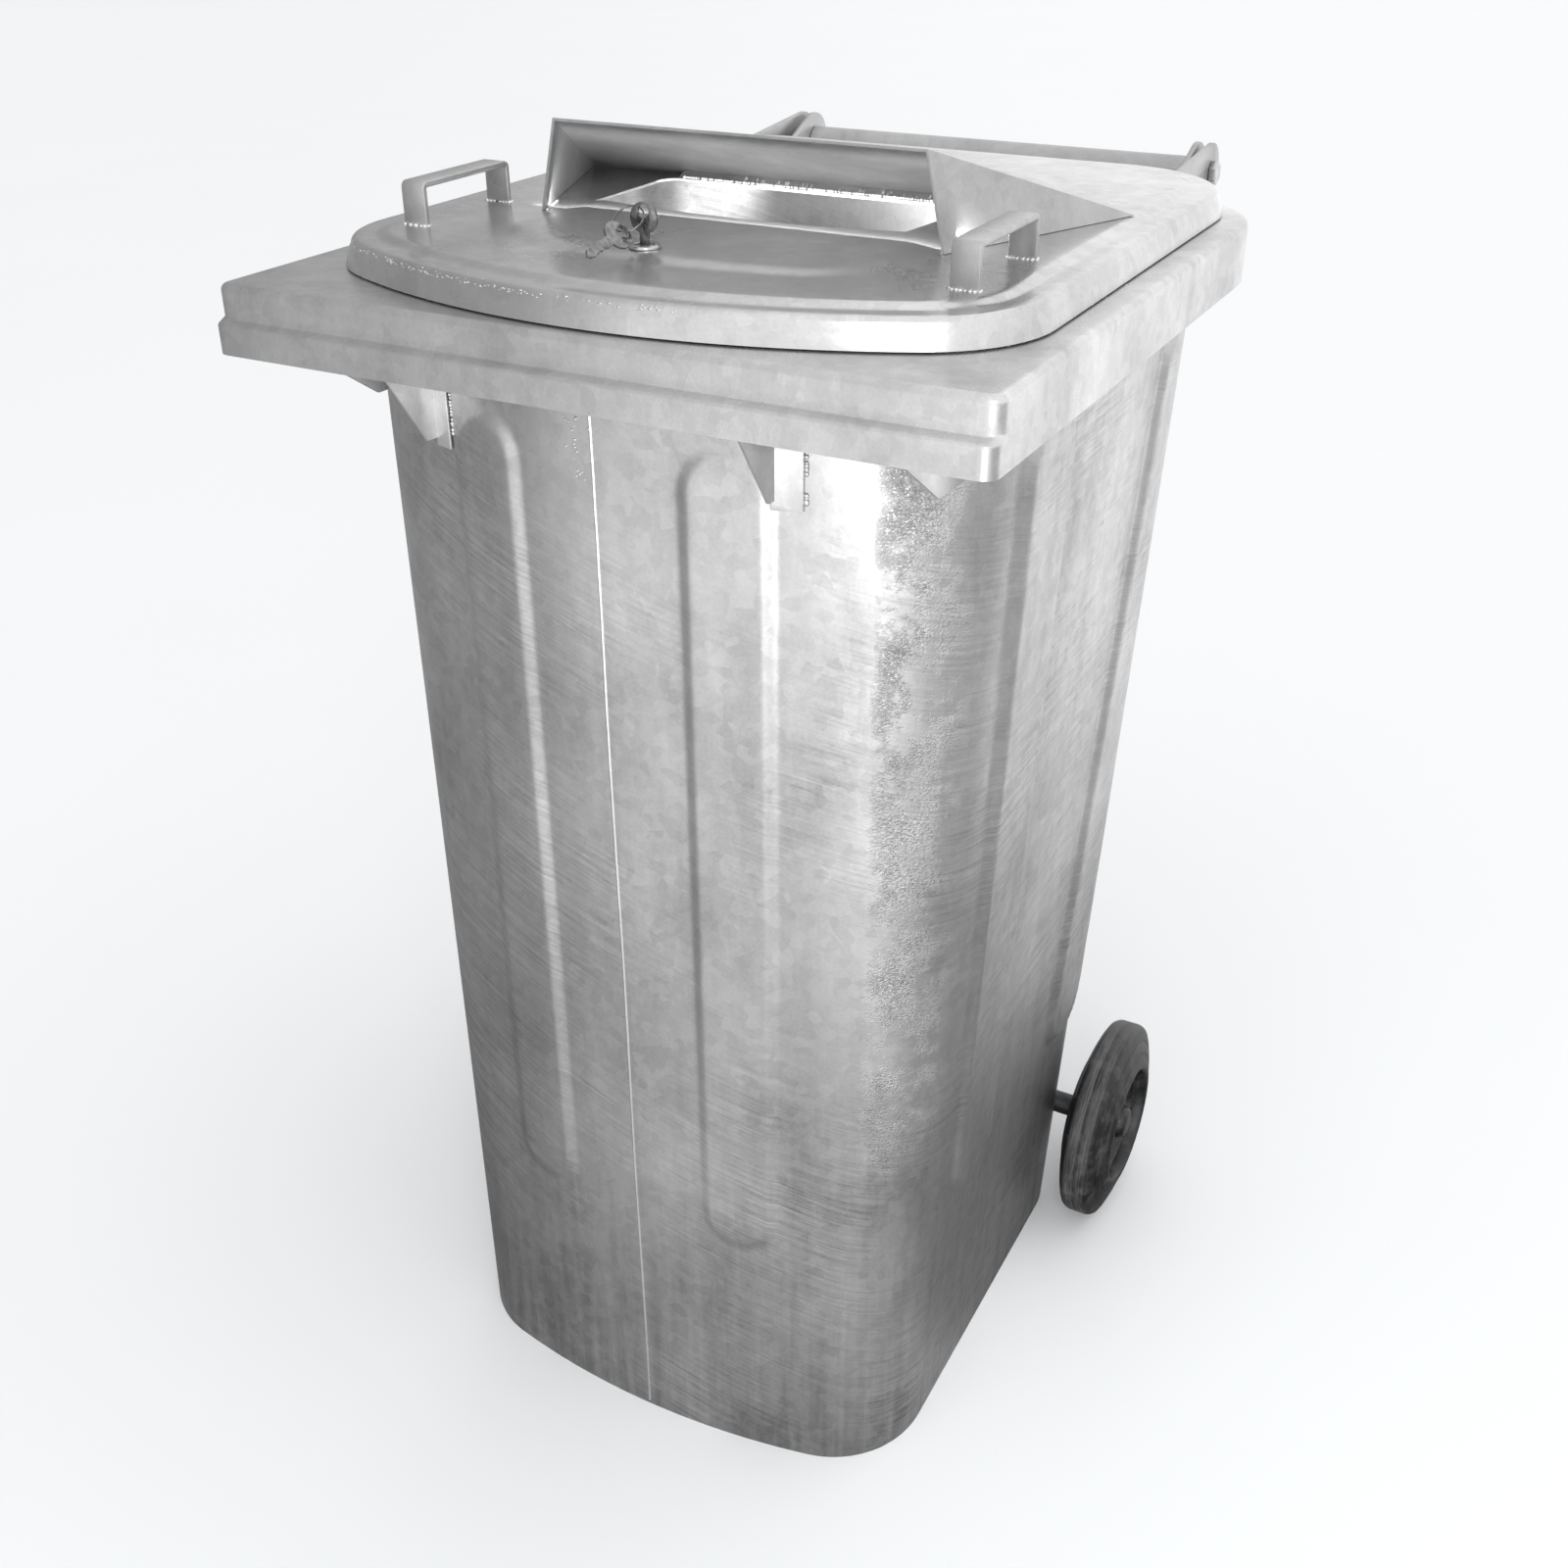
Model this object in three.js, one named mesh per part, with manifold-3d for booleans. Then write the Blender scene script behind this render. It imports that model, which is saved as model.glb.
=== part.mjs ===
import * as THREE from "three";
import { mergeVertices } from "three/addons/utils/BufferGeometryUtils.js";
import Module from "manifold-3d";

// A two-wheeled galvanized steel refuse bin with a hinged, lockable lid and a hooded slot in the lid.
// Millimetres. While it is built, X runs to the right, Y to the back from the plane of the front
// seam, and Z up from the floor. The whole bin is shifted at the end so that it stands centred.

// General
const SHEET = 2; // body, rim and hood sheet
const SEAT_GAP = 0.3; // between two pieces that touch
const TRIM = 1; // what is cut off a form past its edge
const ARC_STEPS = 8; // facets of a quarter turn on large sheet corners
const ROUND_STEPS = 32; // facets of a full turn on wheels and rings
const SMALL_ROUND_STEPS = 24; // facets of a full turn on fasteners
const SMALL_ROUND = 20; // the largest radius that counts as small

// Body: a tapered shell, wider and with larger front corners at the mouth than at the foot
const BODY_HEIGHT = 991;
const FOOT_HALF_WIDTH = 222;
const FOOT_FRONT = -238;
const FOOT_BOW_RADIUS = 713;
const FOOT_FRONT_RADIUS = 88;
const FOOT_REAR = 254;
const FOOT_REAR_RADIUS = 88;
const MOUTH_HALF_WIDTH = 259;
const MOUTH_FRONT = -242;
const MOUTH_BOW_RADIUS = 436;
const MOUTH_FRONT_RADIUS = 120;
const MOUTH_REAR = 314;
const MOUTH_REAR_RADIUS = 110;

// Pressed beads: stadium outlines raised from the body sheet with sloped flanks
const BEAD_RISE = 4.5;
const BEAD_BURY = 10; // how far the bead's solid reaches into the wall it is joined to
const BEAD_FLANK = 45; // degrees
const BEAD_END_ROWS = 5; // rows of facets in the round end of a bead
const FRONT_BEAD_CENTRE = 94;
const FRONT_BEAD_HALF_WIDTH = 33;
const FRONT_BEAD_LOW = 230;
const FRONT_BEAD_TOP_DROP = 76; // below the mouth
const SIDE_BEAD_HALF_WIDTH = 46;
const SIDE_BEAD_LOW = 235;
const SIDE_BEAD_TOP_DROP = 65; // below the mouth
const SIDE_BEAD_CENTRE = -74;
const REAR_BEAD_CENTRE = 124; // at the foot of the leaning bead
const REAR_BEAD_LEAN = 0.11; // how far the leaning bead moves back for each millimetre up

// Axle recess across the lower rear of the body
const RECESS_WALL = 192;
const RECESS_HEIGHT = 150;
const RECESS_SLOPE = 0.7;

// Floor pan with an upturned flange
const PAN_SHEET = 3;
const PAN_FLANGE = 26;

// Rim frame: a channel round the mouth, stepped at the front
const RIM_BELOW_MOUTH = 56; // from the body's mouth down to the rim's base
const RIM_DEPTH = 46.5;
const RIM_HALF_WIDTH = 290;
const RIM_FRONT = -271;
const RIM_REAR = 345;
const RIM_FRONT_RADIUS = 10;
const RIM_REAR_RADIUS = 95;
const RIM_STEP_LOW = 20;
const RIM_STEP_HIGH = 26;
const RIM_STEP_BACK = 12;

// Ribs of the lifting comb between the front skirt and the body
const RIB_SHEET = 2.5;
const RIB_RISE = 18; // how far a rib reaches up inside the rim channel
const INNER_RIB_DROP = 52;
const INNER_RIB_NOSE = 36; // how far back the sloped front edge ends
const OUTER_RIB_DROP = 38;
const OUTER_RIB_NOSE = 57;
const LEFT_RIB_X = -144;
const RIGHT_RIB_X = 124.5;
const LEFT_RIB_FLANGE = 13;
const RIGHT_RIB_FLANGE = 33;
const LEFT_OUTER_RIB_INSET = 73; // from the rim's side to the rib
const LEFT_OUTER_RIB_SETBACK = 18; // from the front skirt to the rib
const RIGHT_OUTER_RIB_INSET = 59;
const RIB_FOOT_SLOPE = 0.125; // how much lower a rib's foot is at the body, for its drop

// Lid: a pressed cover with a skirt, a stepped edge and a raised centre panel
const LID_SHEET = 1.8;
const LID_RIM_GAP = 1.2; // between the lid's skirt and the rim below it
const LID_HALF_WIDTH = 262;
const LID_FRONT = -247;
const LID_BOW_RADIUS = 480;
const LID_FRONT_RADIUS = 90;
const LID_REAR = 358;
const LID_REAR_RADIUS = 105;
const LID_SKIRT_FLARE = 5;
const LID_SKIRT_DEPTH = 19;
const LID_EDGE_BEND = 2.5;
const LID_MARGIN = 20;
const LID_STEP = 3;
const CENTRE_HALF_WIDTH = 142;
const CENTRE_FRONT = -155;
const CENTRE_REAR = 255;
const CENTRE_RADIUS = 60;

// Slot through the centre panel
const SLOT_LEFT = -145;
const SLOT_RIGHT = 127;
const SLOT_FRONT = -23;
const SLOT_BOW_RADIUS = 560;
const SLOT_BACK = 92;

// Hood over the slot: open to the front, sloping down to the back
const HOOD_FOOT_HALF_WIDTH = 163;
const HOOD_TOP_HALF_WIDTH = 148;
const HOOD_FRONT = -50;
const HOOD_BACK = 133;
const HOOD_BACK_HALF_WIDTH = 237;
const HOOD_HEIGHT = 66;

// Strap handles on the lid
const HANDLE_CENTRE = 212.5;
const HANDLE_WIDTH = 20;
const HANDLE_STRAP = 4;
const HANDLE_FRONT = -136;
const HANDLE_LENGTH = 103;
const HANDLE_HEIGHT = 30;
const HANDLE_BEND = 5;

// Hinge: the push bar between two body brackets, with the lid's arms outside them
const HINGE_Y = 453;
const HINGE_RISE = 1.5; // above the rim's top
const HINGE_PLATE = 5;
const HINGE_EAR_RADIUS = 25;
const BAR_RADIUS = 12.5;
const BAR_WALL = 1.9;
const BAR_HALF_LENGTH = 188.5;
const SPACER_THICKNESS = 6.8;
const SPACER_RADIUS = 11;
const BOLT_RADIUS = 6;
const BOLT_HEAD = 6;
const BOLT_BURY = 1; // how far the shank's solid reaches into the head
const BOLT_HEX_RADIUS = 10.2;
const NUT_THICKNESS = 12;
const NUT_INSET = 3;
const BRACKET_SHELF = 30; // how far the bracket stays low under the lid's rear edge
const BRACKET_TOP_DROP = 5;
const BRACKET_FOOT = 6;
const BRACKET_EAR_START = -80; // degrees round the bolt
const BRACKET_EAR_END = 120;
const ARM_FOOT = 24; // how far the lid arm reaches forward of the lid's rear edge
const ARM_DEPTH = 15;
const ARM_EAR_START = -110;
const ARM_EAR_END = 100;

// Lock in the centre panel, and its keys
const LOCK_X = -20;
const LOCK_Y = -134;
const LOCK_HEAD_RADIUS = 11.5;
const LOCK_HEAD = 2;
const LOCK_BARREL_RADIUS = 9;
const LOCK_BARREL_DROP = 26;
const LOCK_NUT_RADIUS = 12.5;
const LOCK_NUT_THICKNESS = 5;
const PLUG_RADIUS = 6.2;
const PLUG_STUD_RADIUS = 3;
const TONGUE_LENGTH = 97;
const TONGUE_WIDTH = 20;
const TONGUE_THICKNESS = 3;
const TONGUE_NUT_THICKNESS = 5;
const KEEPER_WIDTH = 44;
const KEEPER_LIP = 20;
const KEEPER_HEIGHT = 30;
const KEEPER_SHEET = 3;
const KEEPER_LIFT = 1.5; // between the turned tongue and the keeper's lip
const KEY_THICKNESS = 2;
const KEY_BLADE_WIDTH = 7;
const KEY_BLADE_LENGTH = 28;
const KEY_NECK = 6;
const KEY_BOW_RADIUS = 10.5;
const KEY_HOLE_RADIUS = 4.4;
const KEY_HOLE_OFFSET = 4.5;
const KEYRING_RADIUS = 11;
const KEYRING_WIRE = 0.9;
const KEYRING_REACH = 7.6; // from the key's plate to the middle of the ring
const KEYRING_SIDE = 8.6; // how far the ring's middle lies beside the key's hole
const KEYRING_DIP = 40; // degrees that the ring slopes down
const SPARE_DIP = 10; // degrees that the second key slopes down to its tip
const SPARE_ROLL = 45; // degrees that the second key is rolled on its edge
const SPARE_SLACK = 0.9; // how far the second key has slid down on the ring

// Wheels and axle
const WHEEL_RADIUS = 100;
const WHEEL_CENTRE_X = 271;
const AXLE_Y = 217.4;
const AXLE_RADIUS = 11;
const TREAD_HALF_WIDTH = 11;
const TYRE_HALF_WIDTH = 25;
const TYRE_RING_RADIUS = 63;
const TYRE_RING_WIDTH = 5;
const TYRE_RING_EASE = 1; // how much the ring falls off towards the hub
const TYRE_RING_DRAFT = 3; // how wide the ring's outer flank is
const TYRE_RING_RISE = 2; // how high the ring stands on the side wall
const TYRE_SHOULDER = 3;
const TYRE_BORE = 55;
const HUB_RADIUS = 24;
const HUB_HALF_LENGTH = 14;
const HUB_WEB = 6;
const HUB_RIM_WALL = 5;
const HUB_DRAFT = 2;
const WASHER_THICKNESS = 2;
const WASHER_RADIUS = 17;
const CAP_DEPTH = 7;
const CAP_WALL = 3;
const CAP_BEVEL = 1;
const COLLAR_LENGTH = 6;
const AXLE_BRACKET_X = 150;
const AXLE_BRACKET_PLATE = 5;
const AXLE_BRACKET_EAR = 22;
const AXLE_BRACKET_HEIGHT = 72;
const AXLE_EAR_SPREAD = 70; // degrees to each side of the rear

// Values that follow
const CUT_REACH = 2 * BODY_HEIGHT; // past every piece
const FRONT_BEAD_HIGH = BODY_HEIGHT - FRONT_BEAD_TOP_DROP;
const SIDE_BEAD_HIGH = BODY_HEIGHT - SIDE_BEAD_TOP_DROP;
const RIM_BASE = BODY_HEIGHT - RIM_BELOW_MOUTH;
const RIM_TOP = RIM_BASE + RIM_DEPTH;
const LEFT_OUTER_RIB_X = LEFT_OUTER_RIB_INSET - RIM_HALF_WIDTH;
const RIGHT_OUTER_RIB_X = RIM_HALF_WIDTH - RIGHT_OUTER_RIB_INSET;
const HINGE_Z = RIM_TOP + HINGE_RISE;
const SKIRT_Z = RIM_TOP + LID_RIM_GAP;
const MARGIN_Z = SKIRT_Z + LID_SKIRT_DEPTH;
const PANEL_Z = MARGIN_Z + LID_STEP;
const CENTRE_Z = PANEL_Z + LID_STEP;
const REAR_END = HINGE_Y + HINGE_EAR_RADIUS;
const BRACKET_INNER = BAR_HALF_LENGTH + SEAT_GAP;
const SPACER_INNER = BRACKET_INNER + HINGE_PLATE + SEAT_GAP;
const ARM_INNER = SPACER_INNER + SPACER_THICKNESS + SEAT_GAP;
const BOLT_HEAD_INNER = ARM_INNER + HINGE_PLATE + SEAT_GAP;
const LOCK_BARREL_BASE = CENTRE_Z - LOCK_BARREL_DROP;
const TONGUE_TOP = LOCK_BARREL_BASE - SEAT_GAP;

const wasm = await Module();
wasm.setup();

const degrees = THREE.MathUtils.degToRad;
const mix = THREE.MathUtils.lerp;
const flat = (x, y) => new THREE.Vector2(x, y);
const point = (x, y, z) => new THREE.Vector3(x, y, z);

// ---- Solids ----

// A closed solid of a geometry, with its faces turned outward.
function solid(geometry) {
  geometry.deleteAttribute("normal");
  geometry.deleteAttribute("uv");
  const merged = mergeVertices(geometry, 1e-3);
  const corners = merged.attributes.position.array;
  const faces = [];
  for (let i = 0; i < merged.index.count; i += 3) {
    const [a, b, c] = merged.index.array.slice(i, i + 3);
    if (a !== b && b !== c && c !== a) faces.push([a, b, c]);
  }
  const corner = (i) => new THREE.Vector3().fromArray(corners, 3 * i);
  const volume = faces.reduce((sum, [a, b, c]) => sum + corner(a).dot(corner(b).cross(corner(c))), 0);
  const turned = volume < 0 ? faces.map(([a, b, c]) => [a, c, b]) : faces;
  const mesh = new wasm.Mesh({
    numProp: 3,
    vertProperties: new Float32Array(corners),
    triVerts: new Uint32Array(turned.flat()),
  });
  return new wasm.Manifold(mesh);
}

// The geometry of a solid, with flat faces.
function geometryOf(shape) {
  const mesh = shape.getMesh();
  const geometry = new THREE.BufferGeometry();
  geometry.setAttribute("position", new THREE.BufferAttribute(new Float32Array(mesh.vertProperties), 3));
  geometry.setIndex(new THREE.BufferAttribute(new Uint32Array(mesh.triVerts), 1));
  const faceted = geometry.toNonIndexed();
  faceted.computeVertexNormals();
  return faceted;
}

// Triangles that close a ring like a zip, from its first and last points to its middle.
function capTriangles(count) {
  const faces = [];
  for (let low = 0, high = count - 1; low + 1 < high; low++, high--) {
    faces.push([low, low + 1, high]);
    if (low + 1 < high - 1) faces.push([low + 1, high - 1, high]);
  }
  return faces;
}

// A closed solid through rings of equal length.
function loft(rings) {
  const count = rings[0].length;
  const index = [];
  for (let base = 0; base < (rings.length - 1) * count; base += count) {
    for (let i = 0; i < count; i++) {
      const a = base + i;
      const b = base + ((i + 1) % count);
      index.push(a, b, b + count, a, b + count, a + count);
    }
  }
  const last = (rings.length - 1) * count;
  for (const [a, b, c] of capTriangles(count)) index.push(a, c, b, last + a, last + b, last + c);
  const geometry = new THREE.BufferGeometry().setFromPoints(rings.flat());
  return solid(geometry.setIndex(index));
}

const PLANE_YZ = new THREE.Matrix4().makeBasis(point(0, 1, 0), point(0, 0, 1), point(1, 0, 0));

function extrude(shape, depth) {
  return new THREE.ExtrudeGeometry(shape, { depth, bevelEnabled: false, curveSegments: ARC_STEPS });
}

// A plate whose outline is drawn in Y and Z, from one X to another.
function plateAcrossX(shape, from, to) {
  const geometry = extrude(shape, Math.abs(to - from)).applyMatrix4(PLANE_YZ);
  return solid(geometry.translate(Math.min(from, to), 0, 0));
}

// A plate whose outline is drawn in X and Y, from one Z to another.
function plateAcrossZ(shape, from, to) {
  return solid(extrude(shape, to - from).translate(0, 0, from));
}

// A turned geometry about the Y axis, from its radius and height. Small ones have fewer facets.
function turned(profile) {
  const outline = profile.map(([radius, height]) => flat(radius, height));
  const small = outline.every((p) => p.x <= SMALL_ROUND);
  return new THREE.LatheGeometry([...outline, outline[0]], small ? SMALL_ROUND_STEPS : ROUND_STEPS);
}

// A turned solid about the X axis, from its radius and place along X.
const turnedX = (profile) => solid(turned(profile).rotateZ(-Math.PI / 2));

// A turned solid about the Z axis, from its radius and height.
const turnedZ = (profile) => solid(turned(profile).rotateX(Math.PI / 2));

const drillProfile = (radius) => [
  [0, -CUT_REACH],
  [radius, -CUT_REACH],
  [radius, CUT_REACH],
  [0, CUT_REACH],
];

// A round cutter along X at a place in Y and Z, or along Z at a place in X and Y.
const drillX = (y, z, radius) => turnedX(drillProfile(radius)).translate(0, y, z);
const drillZ = (x, y, radius) => turnedZ(drillProfile(radius)).translate(x, y, 0);

// ---- Outlines ----

// Points along an arc, in degrees.
function arc(centreX, centreY, radius, from, to, steps) {
  return Array.from({ length: steps + 1 }, (_, i) => {
    const angle = degrees(mix(from, to, i / steps));
    return flat(centreX + radius * Math.cos(angle), centreY + radius * Math.sin(angle));
  });
}

const mirrored = (points) => points.map((p) => flat(-p.x, p.y)).reverse();

// A closed plan with a bowed front, rounded corners and a straight rear, grown by an offset.
function bowedPlan(plan, offset) {
  const halfWidth = plan.halfWidth + offset;
  const bow = plan.bow + offset;
  const frontRadius = plan.frontRadius + offset;
  const rearRadius = plan.rearRadius + offset;
  const bowCentre = plan.front + plan.bow;
  const cornerX = halfWidth - frontRadius;
  const cornerDrop = Math.sqrt((bow - frontRadius) ** 2 - cornerX ** 2);
  const meeting = -THREE.MathUtils.radToDeg(Math.atan2(cornerDrop, cornerX));
  const front = arc(0, bowCentre, bow, -90, meeting, ARC_STEPS);
  const corner = arc(cornerX, bowCentre - cornerDrop, frontRadius, meeting, 0, ARC_STEPS);
  const rearX = halfWidth - rearRadius;
  const rear = arc(rearX, plan.rear + offset - rearRadius, rearRadius, 0, 90, ARC_STEPS);
  const right = [...front, ...corner.slice(1), ...rear];
  return [...right, ...mirrored(right.slice(1))];
}

// A closed plan with a straight front and rear and rounded corners.
function straightPlan(halfWidth, front, rear, frontRadius, rearRadius) {
  const right = [
    ...arc(halfWidth - frontRadius, front + frontRadius, frontRadius, -90, 0, ARC_STEPS / 2),
    ...arc(halfWidth - rearRadius, rear - rearRadius, rearRadius, 0, 90, ARC_STEPS),
  ];
  return [...right, ...mirrored(right)];
}

const raised = (plan, z) => plan.map((p) => point(p.x, p.y, z));

// ---- Body ----

const FOOT_PLAN = {
  halfWidth: FOOT_HALF_WIDTH,
  front: FOOT_FRONT,
  bow: FOOT_BOW_RADIUS,
  frontRadius: FOOT_FRONT_RADIUS,
  rear: FOOT_REAR,
  rearRadius: FOOT_REAR_RADIUS,
};
const MOUTH_PLAN = {
  halfWidth: MOUTH_HALF_WIDTH,
  front: MOUTH_FRONT,
  bow: MOUTH_BOW_RADIUS,
  frontRadius: MOUTH_FRONT_RADIUS,
  rear: MOUTH_REAR,
  rearRadius: MOUTH_REAR_RADIUS,
};

// The body's section at a height: the ruled wall runs straight from the foot to the mouth.
function bodyRing(z, offset) {
  const foot = bowedPlan(FOOT_PLAN, offset);
  const mouth = bowedPlan(MOUTH_PLAN, offset);
  const share = z / BODY_HEIGHT;
  return foot.map((p, i) => point(mix(p.x, mouth[i].x, share), mix(p.y, mouth[i].y, share), z));
}

// The point of the wall at one X of the front, or at one Y of the right side.
function wallPoint(axis, value, z, offset) {
  const other = axis === "x" ? "y" : "x";
  const onSide = (p) => (axis === "x" ? p.y < 0 : p.x > 0);
  const ring = bodyRing(z, offset);
  const start = ring.findIndex((p, i) => {
    const next = ring[(i + 1) % ring.length];
    return onSide(p) && onSide(next) && (p[axis] - value) * (next[axis] - value) <= 0;
  });
  const a = ring[start];
  const b = ring[(start + 1) % ring.length];
  const share = a[axis] === b[axis] ? 0 : (value - a[axis]) / (b[axis] - a[axis]);
  return mix(a[other], b[other], share);
}

const frontPlace = (centre) => (across, z, offset) => {
  const x = centre + across;
  return point(x, wallPoint("x", x, z, offset), z);
};

const sidePlace = (side, centreAt) => (across, z, offset) => {
  const y = centreAt(z) + across;
  return point(side * wallPoint("y", y, z, offset), y, z);
};

// Rows of a stadium from its low end to its high end, each with its height and half-width.
function stadiumRows(halfWidth, low, high) {
  const end = Array.from({ length: BEAD_END_ROWS }, (_, i) => {
    const angle = (Math.PI / 2) * (1 - (i + 0.5) / (BEAD_END_ROWS - 0.5));
    return { drop: halfWidth * (1 - Math.sin(angle)), half: halfWidth * Math.cos(angle) };
  });
  const lower = end.map((row) => ({ z: low + row.drop, half: row.half }));
  const upper = end.map((row) => ({ z: high - row.drop, half: row.half })).reverse();
  return [...lower, ...upper];
}

// A bead raised from the wall, or its inner face when the sheet's thickness is taken off.
function bead(place, halfWidth, low, high, crownFaces, shift) {
  const narrowed = halfWidth + shift * Math.tan(degrees(BEAD_FLANK / 2));
  const crown = stadiumRows(narrowed - BEAD_RISE, low + BEAD_RISE, high - BEAD_RISE);
  const base = stadiumRows(narrowed + BEAD_BURY, low - BEAD_BURY, high + BEAD_BURY);
  const rings = crown.map((row, i) => {
    const across = Array.from({ length: crownFaces + 1 }, (_, j) => mix(row.half, -row.half, j / crownFaces));
    return [
      place(-base[i].half, base[i].z, shift - BEAD_BURY),
      place(base[i].half, base[i].z, shift - BEAD_BURY),
      ...across.map((a) => place(a, row.z, shift + BEAD_RISE)),
    ];
  });
  return loft(rings);
}

function bodyBeads(shift) {
  const beads = [];
  for (const side of [-1, 1]) {
    const front = frontPlace(side * FRONT_BEAD_CENTRE);
    const middle = sidePlace(side, () => SIDE_BEAD_CENTRE);
    const rear = sidePlace(side, (z) => REAR_BEAD_CENTRE + REAR_BEAD_LEAN * z);
    beads.push(bead(front, FRONT_BEAD_HALF_WIDTH, FRONT_BEAD_LOW, FRONT_BEAD_HIGH, 2, shift));
    beads.push(bead(middle, SIDE_BEAD_HALF_WIDTH, SIDE_BEAD_LOW, SIDE_BEAD_HIGH, 2, shift));
    beads.push(bead(rear, SIDE_BEAD_HALF_WIDTH, SIDE_BEAD_LOW, SIDE_BEAD_HIGH, 4, shift));
  }
  return beads;
}

// The space behind and below the stepped rear wall, grown by a distance.
function axleRecess(grow) {
  const wall = RECESS_WALL - grow;
  const lift = RECESS_HEIGHT + grow * Math.hypot(1, RECESS_SLOPE);
  const shelf = (y) => lift + (y - RECESS_WALL) * RECESS_SLOPE;
  const outline = new THREE.Shape([
    flat(wall, -CUT_REACH),
    flat(CUT_REACH, -CUT_REACH),
    flat(CUT_REACH, shelf(CUT_REACH)),
    flat(wall, shelf(wall)),
  ]);
  return plateAcrossX(outline, -CUT_REACH, CUT_REACH);
}

// The body's solid form without its hollow, from one height to another.
function bodyForm(offset, low, high) {
  const wall = loft([bodyRing(low, offset), bodyRing(high, offset)]);
  return bodyBeads(offset)
    .reduce((form, one) => form.add(one), wall)
    .subtract(axleRecess(-offset));
}

const bodyOuter = bodyForm(0, 0, BODY_HEIGHT);
const bodyReach = bodyForm(SEAT_GAP, -SHEET, BODY_HEIGHT + SHEET);

function bodyShell() {
  return bodyOuter.subtract(bodyForm(-SHEET, -SHEET, BODY_HEIGHT + SHEET));
}

function floorPan() {
  const outside = -SHEET - SEAT_GAP;
  const inside = outside - PAN_SHEET;
  const block = loft([bodyRing(0, outside), bodyRing(PAN_FLANGE, outside)]);
  const hollow = loft([bodyRing(PAN_SHEET, inside), bodyRing(2 * PAN_FLANGE, inside)]);
  const inner = hollow.subtract(axleRecess(-inside));
  return block.subtract(axleRecess(-outside)).subtract(inner);
}

// ---- Rim and comb ----

function rimForm(inset, low, high) {
  const ring = (front, z) =>
    raised(
      straightPlan(
        RIM_HALF_WIDTH - inset,
        front + inset,
        RIM_REAR - inset,
        RIM_FRONT_RADIUS - inset,
        RIM_REAR_RADIUS - inset,
      ),
      z,
    );
  const upper = RIM_FRONT + RIM_STEP_BACK;
  return loft([
    ring(RIM_FRONT, low),
    ring(RIM_FRONT, RIM_BASE + RIM_STEP_LOW - inset / 2),
    ring(upper, RIM_BASE + RIM_STEP_HIGH - inset / 2),
    ring(upper, high),
  ]);
}

function rimFrame() {
  const hollow = rimForm(SHEET, RIM_BASE - SHEET, RIM_TOP - SHEET);
  return rimForm(0, RIM_BASE, RIM_TOP).subtract(hollow).subtract(bodyReach);
}

// A comb rib: an upright web behind the skirt, with a flange along the body where it has one.
function combRib(x, drop, nose, flange, setback) {
  const skirt = RIM_FRONT + SHEET + SEAT_GAP + setback;
  const low = RIM_BASE - drop;
  const foot = low - drop * RIB_FOOT_SLOPE;
  const top = RIM_BASE + RIB_RISE;
  const side = new THREE.Shape([
    flat(skirt, top),
    flat(skirt, RIM_BASE),
    flat(skirt + nose, low),
    flat(0, foot),
    flat(0, top),
  ]);
  const web = plateAcrossX(side, x, x + RIB_SHEET);
  if (!flange) return web.subtract(bodyReach);
  const strip = (z) => {
    const places = [0, 0.5, 1].map((share) => x + share * (RIB_SHEET + flange));
    const outer = places.map((px) => point(px, wallPoint("x", px, z, SEAT_GAP + RIB_SHEET), z));
    const inner = places.map((px) => point(px, wallPoint("x", px, z, -SHEET), z)).reverse();
    return [...outer, ...inner];
  };
  return web.add(loft([strip(foot), strip(top)])).subtract(bodyReach);
}

// ---- Lid ----

function lidPlan(offset) {
  return bowedPlan(
    {
      halfWidth: LID_HALF_WIDTH,
      front: LID_FRONT,
      bow: LID_BOW_RADIUS,
      frontRadius: LID_FRONT_RADIUS,
      rear: LID_REAR,
      rearRadius: LID_REAR_RADIUS,
    },
    offset,
  );
}

function centrePlan(offset) {
  return bowedPlan(
    {
      halfWidth: CENTRE_HALF_WIDTH,
      front: CENTRE_FRONT,
      bow: LID_BOW_RADIUS,
      frontRadius: CENTRE_RADIUS,
      rear: CENTRE_REAR,
      rearRadius: CENTRE_RADIUS,
    },
    offset,
  );
}

// The lid's form from below its skirt up to a surface lying a height above the real one.
function lidForm(grow, low) {
  const wall = lidPlan(grow);
  const flared = lidPlan(grow + LID_SKIRT_FLARE);
  const pressing = loft([
    raised(flared, low),
    raised(flared, SKIRT_Z),
    raised(wall, MARGIN_Z - LID_EDGE_BEND + grow),
    raised(lidPlan(grow - LID_EDGE_BEND), MARGIN_Z + grow),
    raised(lidPlan(grow - LID_MARGIN), MARGIN_Z + grow),
    raised(lidPlan(grow - LID_MARGIN - 2 * LID_STEP), PANEL_Z + grow),
  ]);
  const centre = loft([
    raised(centrePlan(grow), MARGIN_Z),
    raised(centrePlan(grow), PANEL_Z + grow),
    raised(centrePlan(grow - 2 * LID_STEP), CENTRE_Z + grow),
  ]);
  return pressing.add(centre);
}

const lidOuter = lidForm(0, SKIRT_Z - TRIM);
const lidReach = lidForm(SEAT_GAP, RIM_TOP);

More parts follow.
